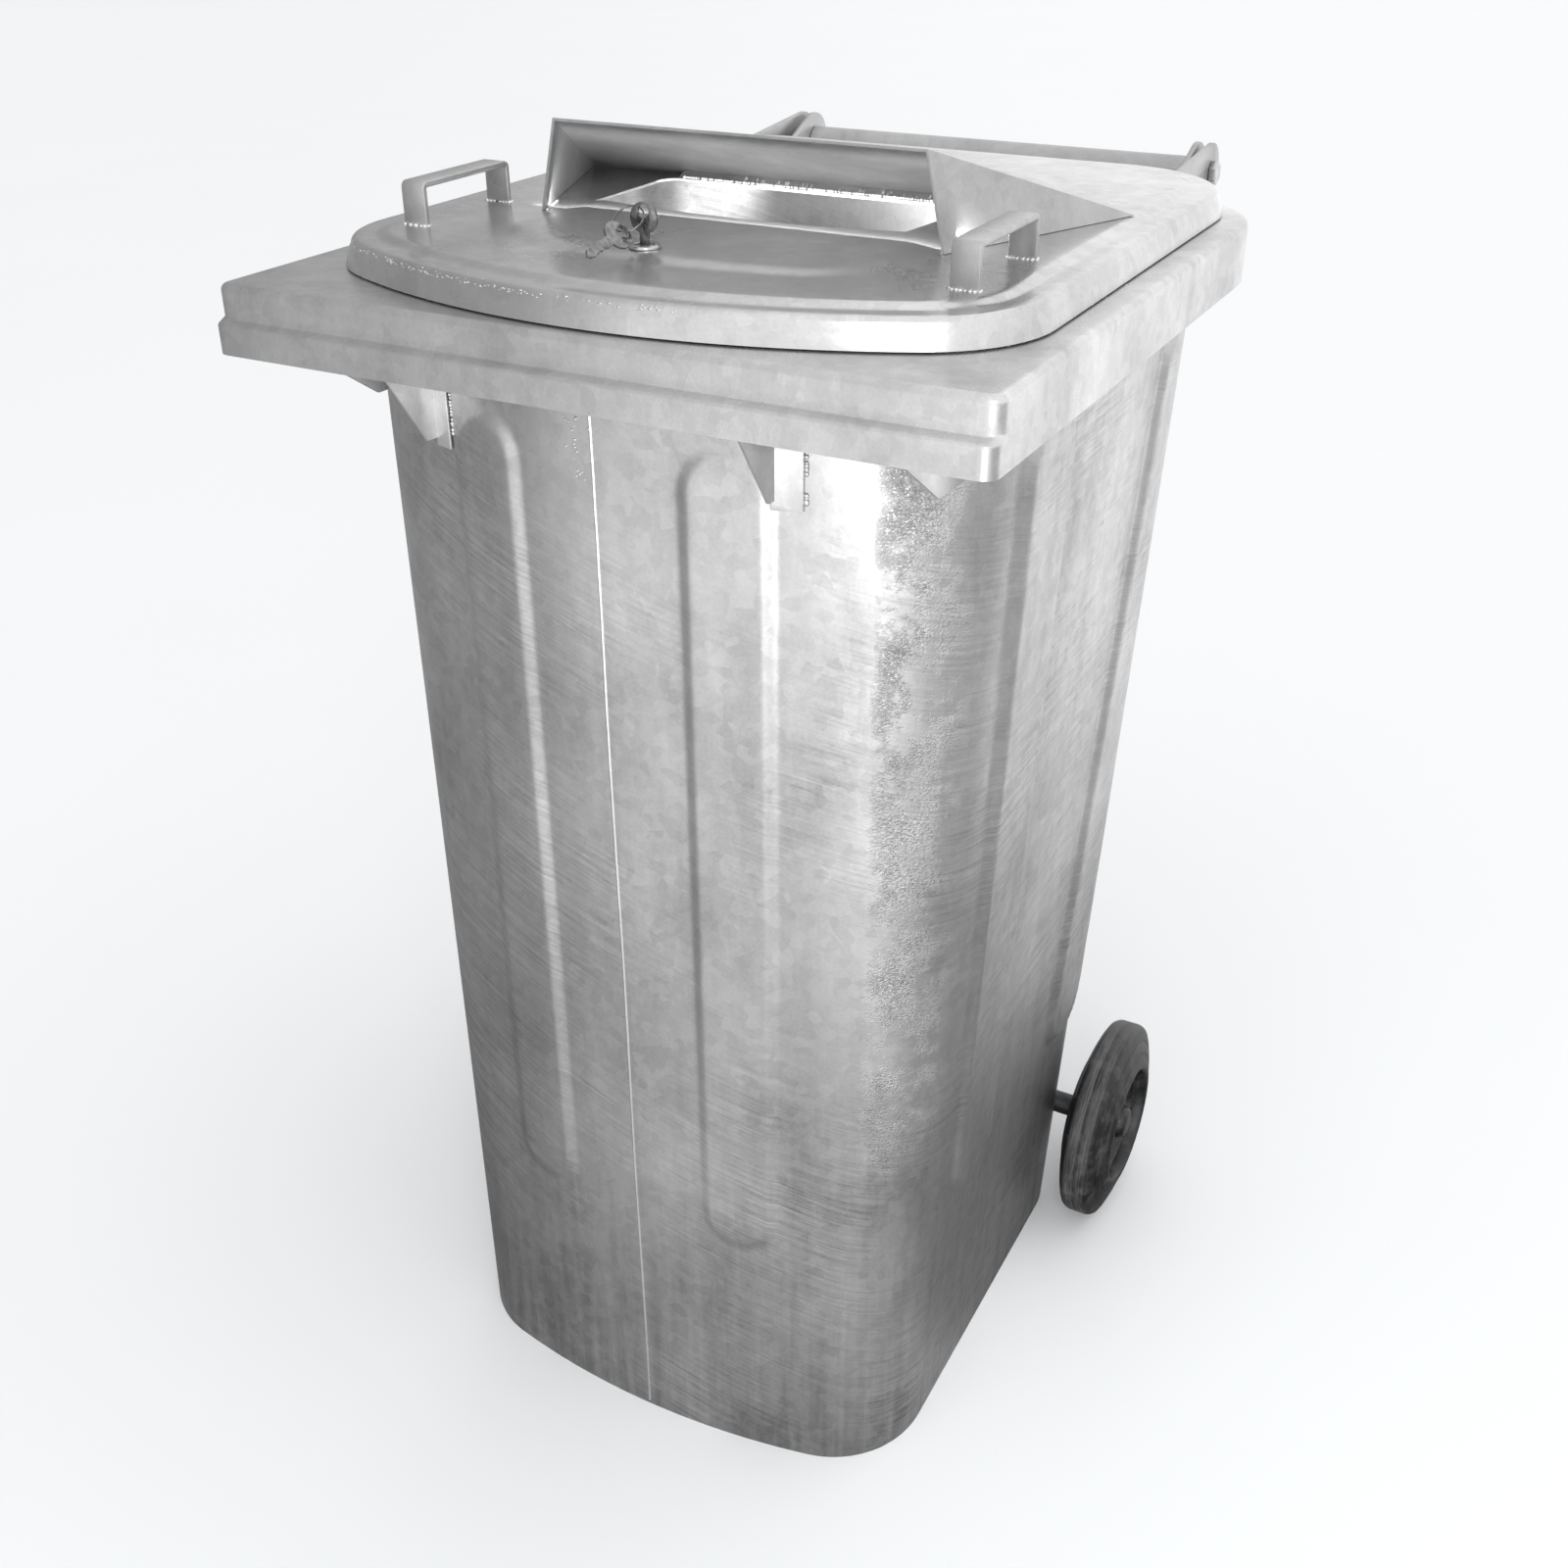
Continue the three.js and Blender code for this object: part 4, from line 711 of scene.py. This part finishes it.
def weld_line(bm, points, size, spacing, seed, flatness=0.6):
    """Overlapping drops of weld metal along a line, a few millimetres apart."""
    rng = random.Random(seed)
    for start, end in zip(points, points[1:]):
        count = max(1, round((end - start).length * 1000 / spacing))
        for i in range(count):
            middle = start.lerp(end, (i + rng.random() * 0.6) / count)
            drop = size * (0.7 + 0.6 * rng.random()) / 1000
            shape = Matrix.Translation(middle) @ Matrix.Diagonal((1, 1, flatness, 1))
            bmesh.ops.create_icosphere(bm, subdivisions=2, radius=drop, matrix=shape)


def front_line(x, low, high, steps):
    """Points up the front wall at one place across it."""
    heights = [low + (high - low) * i / steps for i in range(steps + 1)]
    return [surface_at(body_skin, mm(x, -500, z), (0, 1, 0))[0] for z in heights]


rib_weld_bm = bmesh.new()
weld_line(rib_weld_bm, front_line(RIB_FLANGE_END + 1, 882, 888, 1), 1.7, 2.2, 1, 1.3)
weld_line(rib_weld_bm, front_line(RIB_FLANGE_END + 1, 900, 932, 2), 1.4, 2.6, 5, 1.3)
weld_line(rib_weld_bm, front_line(LEFT_RIB_END, 888, 932, 3), 1.2, 2.4, 3, 1.3)
spatter = random.Random(11)
for _ in range(SPATTER_COUNT):
    x, z = spatter.gauss(*SPATTER_X), spatter.uniform(*SPATTER_Z)
    spot, _ = surface_at(body_skin, mm(x, -500, z), (0, 1, 0))
    radius = spatter.uniform(0.5, 1.3) / 1000
    place = Matrix.Translation(spot)
    bmesh.ops.create_icosphere(rib_weld_bm, subdivisions=1, radius=radius, matrix=place)
add_piece("rib_welds", rib_weld_bm, "bin_body", bright_zinc, 80)

# ---- Lid ----
# A pressed steel cover with a flared skirt, a soft step inside its edge and a raised centre panel
# through which the slot is cut. It is the bin's smoothest sheet and mirrors what stands on it.

LID_PLAN = dict(half=262, front=-247, bow=480, front_radius=90, rear=358, rear_radius=105)
CENTRE_PLAN = dict(half=142, front=-155, bow=480, front_radius=60, rear=255, rear_radius=60)
LID_COLUMNS = (20, 20, 16, 24, 8)
LID_SHEET = 1.8
LID_SKIRT = 982.7
LID_EDGE = 1001.7
LID_PANEL = 1004.7
LID_CENTRE = 1007.7
LID_FOLD = 5.0
SLOT_MIDDLE = -9
SLOT_HALF_WIDTH = 136
SLOT_FRONT = -23
SLOT_BOW = 560
SLOT_BACK = 92
LOCK_X = -20
LOCK_Y = -134
LOCK_HOLE = 9.3
CUTTER_DEPTH = 30


def lid_ring(plan, grow, height):
    """A ring of the lid at a height."""
    return [mm(x, y, height) for x, y in bowed_plan(plan, grow, LID_COLUMNS)]


lid_rows = [(LID_PLAN, 5.0, LID_SKIRT), (LID_PLAN, 3.6, 988), (LID_PLAN, 1.6, 994)]
for i in range(6):
    bend = pi / 2 * i / 5
    height = LID_EDGE - LID_FOLD * (1 - sin(bend))
    lid_rows.append((LID_PLAN, -LID_FOLD * (1 - cos(bend)), height))
lid_rows.append((LID_PLAN, -11, LID_EDGE))
for i in range(8):
    height = LID_EDGE + (LID_PANEL - LID_EDGE) * soft_step(i / 7)
    lid_rows.append((LID_PLAN, -17 - i * 1.7, height))
lid_rows += [(LID_PLAN, -34, LID_PANEL), (CENTRE_PLAN, 16, LID_PANEL)]
for i in range(13):
    height = LID_PANEL + (LID_CENTRE - LID_PANEL) * soft_step(i / 12)
    lid_rows.append((CENTRE_PLAN, 13 - i * 2.2, height))
lid_rows.append((CENTRE_PLAN, -16, LID_CENTRE))
lid_bm = bmesh.new()
lid_edges = None
for plan, grow, height in lid_rows:
    ring = lid_ring(plan, grow, height)
    lid_edges = raise_ring(lid_bm, lid_edges, ring) if lid_edges else ring_of(lid_bm, ring)
bmesh.ops.contextual_create(lid_bm, geom=lid_edges)
face_outwards(lid_bm)
lid_zinc = galvanized_steel("galvanized_lid", "#9C9C9C", "#E4E4E4", 0.19, 8, 0.1, 210)
lid_skin = add_piece("lid_skin", lid_bm, "lid", lid_zinc)
give_thickness(lid_skin, LID_SHEET)
slot_bm = bmesh.new()
slot_spread = degrees(asin(SLOT_HALF_WIDTH / SLOT_BOW))
slot_ends = (-90 - slot_spread, -90 + slot_spread)
slot_outline = arc(SLOT_MIDDLE, SLOT_FRONT + SLOT_BOW, SLOT_BOW, *slot_ends, 24)
slot_outline += [(SLOT_MIDDLE + side * SLOT_HALF_WIDTH, SLOT_BACK) for side in (1, -1)]
slot_edges = ring_of(slot_bm, [mm(x, y, 990) for x, y in slot_outline])
slot_floor = bmesh.ops.contextual_create(slot_bm, geom=slot_edges)["faces"]
slot_sides = bmesh.ops.extrude_face_region(slot_bm, geom=slot_floor)["geom"]
slot_tops = [v for v in slot_sides if isinstance(v, bmesh.types.BMVert)]
bmesh.ops.translate(slot_bm, verts=slot_tops, vec=(0, 0, CUTTER_DEPTH / 1000))
bmesh.ops.recalc_face_normals(slot_bm, faces=slot_bm.faces[:])
cut_away(lid_skin, slot_bm)


def drill(piece, radius, depth, segments, place):
    """Drills a round hole, in millimetres, through a piece."""
    drill_bm = bmesh.new()
    radii = {"radius1": radius / 1000, "radius2": radius / 1000}
    bmesh.ops.create_cone(
        drill_bm, cap_ends=True, segments=segments, **radii, depth=depth / 1000, matrix=place
    )
    cut_away(piece, drill_bm)


drill(lid_skin, LOCK_HOLE, CUTTER_DEPTH, 48, Matrix.Translation(mm(LOCK_X, LOCK_Y, 1005)))
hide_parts("lid_shell")

# ---- Hood ----
# A wedge of 2 mm sheet bent over the slot and open to the front. Its plates are welded to the
# lid along their feet from inside, and zinc has run down the weld behind the slot.

FOOT_HALF = 132  # mm, the weld plate behind the slot
FOOT_FRONT = 97
FOOT_BACK = 108
FOOT_HEIGHT = 1007.8
RUN_COUNT = 30

hood_zinc = galvanized_steel(
    "galvanized_hood", "#848484", "#CACACA", 0.3, 60, 0.12, 120, 0.0, 0.65
)
hood_skin = eased_copy("hood", 0.6, "lid", hood_zinc, 20)
hood_weld_bm = bmesh.new()
for side in (-1, 1):
    wing = [mm(side * 160, -48, 1005), mm(side * 176, -8, 1005)]
    weld_line(hood_weld_bm, wing, 1.7, 5, 20 + side)
foot_rows = []
for step in range(25):
    x = FOOT_HALF * (step / 12 - 1)
    roof, _ = surface_at(hood_skin, mm(x, FOOT_BACK, FOOT_HEIGHT + 1.2), (0, 0, 1))
    low = [mm(x, y, FOOT_HEIGHT) for y in (FOOT_FRONT, FOOT_FRONT + 5)]
    foot_rows.append([low[0], roof, roof + Vector((0, 0.005, 0)), low[1]])
foot_bm = bmesh.new()
foot_edges = ring_of(foot_bm, foot_rows[0])
for row in foot_rows[1:]:
    foot_edges = raise_ring(foot_bm, foot_edges, row)
bmesh.ops.holes_fill(foot_bm, edges=foot_bm.edges[:])
bmesh.ops.recalc_face_normals(foot_bm, faces=foot_bm.faces[:])
add_piece("hood_foot_weld", foot_bm, "lid", hood_zinc)
foot_line = [mm(side * 128, FOOT_FRONT + 0.5, FOOT_HEIGHT + 0.4) for side in (-1, 1)]
weld_line(hood_weld_bm, foot_line, 1.3, 2.4, 23, 1.0)
runs = random.Random(5)
for _ in range(RUN_COUNT):
    share = runs.uniform(0.1, 0.55)
    foot = Vector(foot_rows[runs.randrange(5, 24)][0])
    head = Vector((foot.x, foot_rows[12][1].y, foot_rows[12][1].z))
    place = foot.lerp(head, share) + Vector((runs.uniform(-0.005, 0.005), 0, 0))
    radius = runs.uniform(0.7, 1.3) / 1000
    shape = Matrix.Diagonal((1, 0.7, runs.uniform(2.2, 3.8), 1))
    place = Matrix.Translation(place) @ Matrix.Rotation(-radians(45), 4, "X") @ shape
    bmesh.ops.create_icosphere(hood_weld_bm, subdivisions=2, radius=radius, matrix=place)
add_piece("hood_welds", hood_weld_bm, "lid", bright_zinc, 80)

# ---- Lid handles ----
# Two straps of 20 by 4 mm flat bar, bent down at both ends and fillet welded to the lid, with
# bright drops of weld round their feet.

HANDLE_X = 212.5
HANDLE_HALF = 10
HANDLE_SHEET = 4
HANDLE_SEAT = 1004.9
HANDLE_FEET = (-136, -37)

handle_weld_bm = bmesh.new()
for side, sign in (("left", -1), ("right", 1)):
    eased_copy("lid_handle_" + side, 0.7, "lid", hood_zinc)
    left, right = sign * HANDLE_X - HANDLE_HALF, sign * HANDLE_X + HANDLE_HALF
    for near in HANDLE_FEET:
        far = near + HANDLE_SHEET
        outline = ((left, near), (right, near), (right, far), (left, far), (left, near))
        corners = [mm(x, y, HANDLE_SEAT) for x, y in outline]
        weld_line(handle_weld_bm, corners, 1.9, 3.2, 30 + sign + near)
add_piece("handle_welds", handle_weld_bm, "lid", bright_zinc, 80)

# ---- Zinc drips on the lid ----
# A row of small bright grinding marks and zinc drops along the lid's front fold, where the
# pressing was dressed before the bath.

DRIP_COUNT = 150
DRIP_X = (-235, 90)

drip_bm = bmesh.new()
drips = random.Random(3)
for _ in range(DRIP_COUNT):
    x = drips.uniform(*DRIP_X)
    spot, _ = surface_at(lid_skin, mm(x, -600, drips.gauss(998.6, 0.9)), (0, 1, 0))
    if spot:
        stretch = Matrix.Diagonal((drips.uniform(1, 3.2), 1, 0.7, 1))
        radius = drips.uniform(0.3, 0.8) / 1000
        place = Matrix.Translation(spot) @ stretch
        bmesh.ops.create_icosphere(drip_bm, subdivisions=1, radius=radius, matrix=place)
add_piece("lid_drips", drip_bm, "lid", bright_zinc, 80)

# ---- Lock ----
# A cam lock through the centre panel: a die-cast barrel with a bright collar, its turning plug,
# and below the lid a nut and a flat steel tongue.

LOCK_SEAT = 1008.0
LOCK_TOP = 1010.0
LOCK_BASE = 981.7


def plated_steel(name, dark, light, roughness, grain):
    """Plated steel: an even metal with faint clouds and fine handling marks. grain in mm."""
    material, shader, place = new_material(name)
    pattern = {"Vector": place, "Scale": 1000 / grain, "Detail": 4.0}
    cloud = add_node(material, "ShaderNodeTexNoise", pattern)
    shades = {0: cloud, 6: linear(dark), 7: linear(light)}
    colour = add_node(material, "ShaderNodeMix", shades, data_type="RGBA")
    gloss = {"Value": cloud, "To Min": roughness + 0.12, "To Max": roughness - 0.08}
    relief = {"Height": cloud, "Strength": 0.2, "Distance": 0.0002}
    skin = {
        "Base Color": colour.outputs[2],
        "Roughness": add_node(material, "ShaderNodeMapRange", gloss),
        "Normal": add_node(material, "ShaderNodeBump", relief),
        "Metallic": 1.0,
    }
    feed(material, shader, skin)
    return material


def turned(profile, axis, centre, steps=72):
    """A closed turned shape from (radius, place along the axis) in millimetres about a centre."""
    bm = bmesh.new()
    if axis == "Z":
        verts = [bm.verts.new(centre + Vector((r, 0, a)) / 1000) for r, a in profile]
        direction = Vector((0, 0, 1))
    else:
        verts = [bm.verts.new(centre + Vector((a, r, 0)) / 1000) for r, a in profile]
        direction = Vector((1, 0, 0))
    edges = [bm.edges.new((a, b)) for a, b in zip(verts, verts[1:] + verts[:1])]
    whole = {"angle": 2 * pi, "steps": steps, "use_merge": True}
    bmesh.ops.spin(bm, geom=verts + edges, cent=centre, axis=direction, **whole)
    bmesh.ops.remove_doubles(bm, verts=bm.verts[:], dist=1e-6)
    bmesh.ops.dissolve_degenerate(bm, dist=1e-7, edges=bm.edges[:])
    bmesh.ops.recalc_face_normals(bm, faces=bm.faces[:])
    return bm


lock_zinc = plated_steel("zinc_plated_lock", "#9A9A9A", "#DADADA", 0.24, 6)
key_nickel = plated_steel("nickel_plated_key", "#3E3E3E", "#ACACAC", 0.14, 4)
lock_axis = mm(LOCK_X, LOCK_Y, 0)
housing_profile = [
    (6.5, LOCK_BASE),
    (9.0, LOCK_BASE),
    (9.0, LOCK_SEAT),
    (11.5, LOCK_SEAT),
    (11.5, LOCK_TOP - 1.2),
    (11.2, LOCK_TOP - 0.5),
    (10.5, LOCK_TOP),
    (8.0, LOCK_TOP),
    (7.6, LOCK_TOP - 0.4),
    (7.0, LOCK_TOP - 0.4),
    (6.5, LOCK_TOP - 0.2),
]
housing_bm = turned(housing_profile, "Z", lock_axis)
housing = add_piece("lock_collar", housing_bm, "lid", lock_zinc, 40)
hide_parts("lock_housing")
eased_copy("lock_plug", 0.25, "lock_cylinder", key_nickel)
for part in ("lock_nut", "latch_tongue", "tongue_nut"):
    finish_plate(part, lock_zinc)

# ---- Keys and split ring ----
# Two cut keys stamped from 2 mm nickel-plated steel. One stands in the plug, and the other hangs
# on a split ring of two turns of wire and leans on the lid. The bows are left plain.

KEY_BLADE = 28.0
KEY_NECK = 6.0
KEY_BOW = 10.5
KEY_HOLE = 4.4
KEY_HOLE_HEIGHT = 21.0
RING_RADIUS = 11.0
RING_WIRE = 0.45
RING_TURNS = 1.94
RING_STEPS = 112
RING_DIP = 40  # degrees
RING_REACH = 7.6
RING_SIDE = 8.6
KEY_SHEET = 2.0
KEY_HALF = 3.5
KEY_CUTS = (0.9, 0.1, 1.3, 0.5, 1.7, 0.3, 1.1)
SPARE_LEAN = 10  # degrees
SPARE_TWIST = 45


def key_shape(placing):
    """A flat key with a round bow, a shoulder and cut teeth, standing on its blade."""
    bow_height = KEY_NECK + KEY_BOW
    start = degrees(asin(KEY_HALF / KEY_BOW))
    tip = KEY_NECK - KEY_BLADE
    outline = [(0, tip), (2.6, tip + 2.6)]
    outline += [(KEY_HALF - cut, tip + 4.2 + 2.3 * i) for i, cut in enumerate(KEY_CUTS)]
    outline += [(KEY_HALF, KEY_NECK - 6)]
    outline += arc(0, bow_height, KEY_BOW, start - 90, 270 - start, 40)
    outline += [(-KEY_HALF, bow_height - sqrt(KEY_BOW**2 - KEY_HALF**2)), (-KEY_HALF, tip + 3.5)]
    bm = bmesh.new()
    edges = ring_of(bm, [Vector((x, -KEY_SHEET / 2, z)) / 1000 for x, z in outline])
    flat = bmesh.ops.contextual_create(bm, geom=edges)["faces"]
    made = bmesh.ops.extrude_face_region(bm, geom=flat)["geom"]
    far = [v for v in made if isinstance(v, bmesh.types.BMVert)]
    bmesh.ops.translate(bm, verts=far, vec=(0, KEY_SHEET / 1000, 0))
    bmesh.ops.recalc_face_normals(bm, faces=bm.faces[:])
    rims = [e for e in bm.edges if e.is_manifold and e.calc_face_angle(0.0) > radians(60)]
    bmesh.ops.bevel(
        bm, geom=rims, offset=0.0002, affect="EDGES", segments=2, profile=0.5, material=-1
    )
    bmesh.ops.transform(bm, matrix=placing, verts=bm.verts[:])
    return bm


def key_piece(name, node, body, placing):
    """A key with its hole, at its place."""
    made = add_piece(name, key_shape(placing), body, key_nickel)
    middle = Matrix.Translation((0, 0, KEY_HOLE_HEIGHT / 1000))
    bore = placing @ middle @ Matrix.Rotation(pi / 2, 4, "X")
    drill(made, KEY_HOLE, 3 * KEY_SHEET, 40, bore)
    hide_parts(node)


key_seat = mm(LOCK_X, LOCK_Y, LOCK_TOP + 0.3)
key_piece("key_cut", "key", "key", Matrix.Translation(key_seat))
ring_forward = Vector((0, -cos(radians(RING_DIP)), -sin(radians(RING_DIP))))
ring_middle = key_seat + Vector((-RING_SIDE, 0, KEY_HOLE_HEIGHT)) / 1000
ring_middle += ring_forward * RING_REACH / 1000
spare_place = (
    Matrix.Translation(ring_middle + ring_forward * RING_RADIUS / 1000)
    @ Matrix.Rotation(radians(SPARE_LEAN - 90), 4, "X")
    @ Matrix.Rotation(radians(SPARE_TWIST), 4, "Z")
    @ Matrix.Translation((0, 0, -(KEY_HOLE_HEIGHT + 2 * RING_WIRE) / 1000))
)
key_piece("spare_key_cut", "spare_key", "spare_key", spare_place)

ring_bm = bmesh.new()
ring_start = Matrix.Translation(Vector((RING_RADIUS, 0, -RING_WIRE)) / 1000)
ring_start = ring_start @ Matrix.Rotation(pi / 2, 4, "X")
bmesh.ops.create_circle(ring_bm, segments=10, radius=RING_WIRE / 1000, matrix=ring_start)
bmesh.ops.spin(
    ring_bm,
    geom=ring_bm.verts[:] + ring_bm.edges[:],
    cent=(0, 0, 0),
    axis=(0, 0, 1),
    dvec=(0, 0, 2 * RING_WIRE / 1000 / RING_STEPS),
    angle=2 * pi * RING_TURNS,
    steps=RING_STEPS,
)
bmesh.ops.holes_fill(ring_bm, edges=[e for e in ring_bm.edges if e.is_boundary])
bmesh.ops.recalc_face_normals(ring_bm, faces=ring_bm.faces[:])
ring_turn = Matrix.Translation(ring_middle) @ Matrix.Rotation(radians(RING_DIP), 4, "X")
bmesh.ops.transform(ring_bm, matrix=ring_turn, verts=ring_bm.verts[:])
split_ring = add_piece("split_ring", ring_bm, "key_ring", key_nickel, 60)
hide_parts("key_ring")

# ---- Hinge ----
# A push bar of 25 mm galvanized tube at the rear, bolted between two brackets on the rim. The
# lid's two arms turn on the same bolts, outside the brackets, with a spacer between.

HINGE_CENTRE = mm(0, 453, 983)
BAR_HALF = 188.5
BAR_RADIUS = 12.5
BAR_BORE = 10.6

bar_profile = [(BAR_BORE, -BAR_HALF), (BAR_RADIUS - 0.4, -BAR_HALF), (BAR_RADIUS, -BAR_HALF + 0.5)]
bar_profile += [(radius, -place) for radius, place in reversed(bar_profile)]
bar_bm = turned(bar_profile, "X", HINGE_CENTRE)
push_bar = add_piece("push_bar", bar_bm, "bin_body", hood_zinc)
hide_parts("hinge_bar")
for side in ("left", "right"):
    eased_copy("hinge_bracket_" + side, 0.8, "bin_body", hood_zinc)
    eased_copy("lid_arm_" + side, 0.8, "lid", hood_zinc)
    for fitting, ease in (("hinge_bolt_", 0.5), ("hinge_nut_", 0.4), ("hinge_spacer_", 0.4)):
        eased_copy(fitting + side, ease, "bin_body", lock_zinc)

# ---- Wheels ----
# Solid black rubber tyres of 200 mm on black plastic hubs, dusty from the yard. The side wall has
# a raised ring and two fine grooves from the mould.

WHEEL_RADIUS = 100
WHEEL_X = 271
AXLE_Y = 217.4
WHEEL_STEPS = 96


def dusty_black(name, black, dust, roughness, dust_size, tread=0.0):
    """A black moulded surface with a little grey dust, matt where the dust lies. dust_size in mm.
    Beyond the radius tread, in metres, it is a worn surface with scuffs round the wheel."""
    material, shader, place = new_material(name)
    pattern = {"Vector": place, "Scale": 1000 / dust_size, "Detail": 6.0, "Roughness": 0.7}
    patches = add_node(material, "ShaderNodeTexNoise", pattern)
    dusty = {"Value": patches, "From Min": 0.46, "From Max": 0.86}
    settled = add_node(material, "ShaderNodeMapRange", dusty)
    if tread:
        hub = {0: place, 1: (0, (AXLE_Y + SEAM_PLANE) / 1000, WHEEL_RADIUS / 1000)}
        from_axle = add_node(material, "ShaderNodeVectorMath", hub, operation="SUBTRACT")
        across = add_node(material, "ShaderNodeMapping", {"Vector": from_axle, "Scale": (0, 1, 1)})
        length = add_node(material, "ShaderNodeVectorMath", {0: across}, operation="LENGTH")
        edge = {"Value": length.outputs["Value"], "From Min": tread, "From Max": tread + 0.0015}
        worn = add_node(material, "ShaderNodeMapRange", edge)
        round_it = add_node(material, "ShaderNodeMapping", {"Vector": place, "Scale": (22, 1, 1)})
        pattern = {"Vector": round_it, "Scale": 34.0, "Detail": 5.0, "Roughness": 0.7}
        scuffs = add_node(material, "ShaderNodeTexNoise", pattern)
        scuffed = {"Value": scuffs, "From Min": 0.36, "From Max": 0.66}
        both = {0: worn, 1: add_node(material, "ShaderNodeMapRange", scuffed), 2: settled}
        settled = add_node(material, "ShaderNodeMath", both, operation="MULTIPLY_ADD")
        settled = add_node(material, "ShaderNodeClamp", {"Value": settled})
    shades = {0: settled, 6: linear(black), 7: linear(dust)}
    colour = add_node(material, "ShaderNodeMix", shades, data_type="RGBA")
    matt = {"Value": settled, "To Min": roughness, "To Max": 0.8}
    fine = {"Vector": place, "Scale": 700.0, "Detail": 3.0}
    grain = add_node(material, "ShaderNodeTexNoise", fine)
    relief = {"Height": grain, "Strength": 0.3, "Distance": 0.0004}
    skin = {
        "Base Color": colour.outputs[2],
        "Roughness": add_node(material, "ShaderNodeMapRange", matt),
        "Normal": add_node(material, "ShaderNodeBump", relief),
    }
    feed(material, shader, skin)
    return material


tyre_rubber = dusty_black("dusty_tyre_rubber", "#0E0E0E", "#5E5E5E", 0.34, 22, 0.0985)
hub_plastic = dusty_black("black_hub_plastic", "#101010", "#525252", 0.3, 9)
# Half a section of the tyre and of the hub, as radius and distance from the middle.
tyre_half = [(55, 14), (57.5, 22.5), (58.2, 24.0), (60.5, 25.0), (63.5, 24.8), (66, 23.2)]
tyre_half += [(72, 22.0), (72.4, 21.2), (73.4, 21.2), (73.8, 21.6), (84, 18.6), (84.4, 17.8)]
tyre_half += [(85.4, 17.6), (85.8, 18.0), (94, 15.0), (97.5, 13.2), (99.3, 10.5), (100, 7.5)]
tyre_half += [(100, 1.2), (99.4, 0.6)]
hub_half = [(11.3, 14), (21.5, 14), (23.2, 13.2), (24, 11.5), (25, 4), (26, 3), (48.5, 3)]
hub_half += [(49.3, 3.8), (49.7, 12.8), (50.5, 13.8), (54.2, 14)]
for side, sign in (("left", -1), ("right", 1)):
    centre = mm(sign * WHEEL_X, AXLE_Y, WHEEL_RADIUS)
    for piece, node, half, material, slot in (
        ("tyre_rubber_", "tyre_", tyre_half, tyre_rubber, "black_rubber"),
        ("hub_", "wheel_hub_", hub_half, hub_plastic, "black_plastic"),
    ):
        profile = half + [(radius, -place) for radius, place in reversed(half)]
        wheel_bm = turned(profile, "X", centre, WHEEL_STEPS)
        made = add_piece(piece + side, wheel_bm, "wheel_" + side, material, 50)
        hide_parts(node + side)

# ---- Axle ----
# A plain 22 mm bar through the step of the body, with a collar inside each wheel and a washer and
# a pressed plastic cap outside. The bar is darkened by grease and dust.

axle_steel = plated_steel("darkened_axle_steel", "#2C2C2D", "#5C5C5E", 0.45, 18)
eased_copy("axle", 0.4, "bin_body", axle_steel)
for fitting in ("axle_collar_", "axle_washer_"):
    for side in ("left", "right"):
        eased_copy(fitting + side, 0.4, "bin_body", axle_steel)
for side in ("left", "right"):
    eased_copy("axle_cap_" + side, 0.4, "bin_body", hub_plastic)
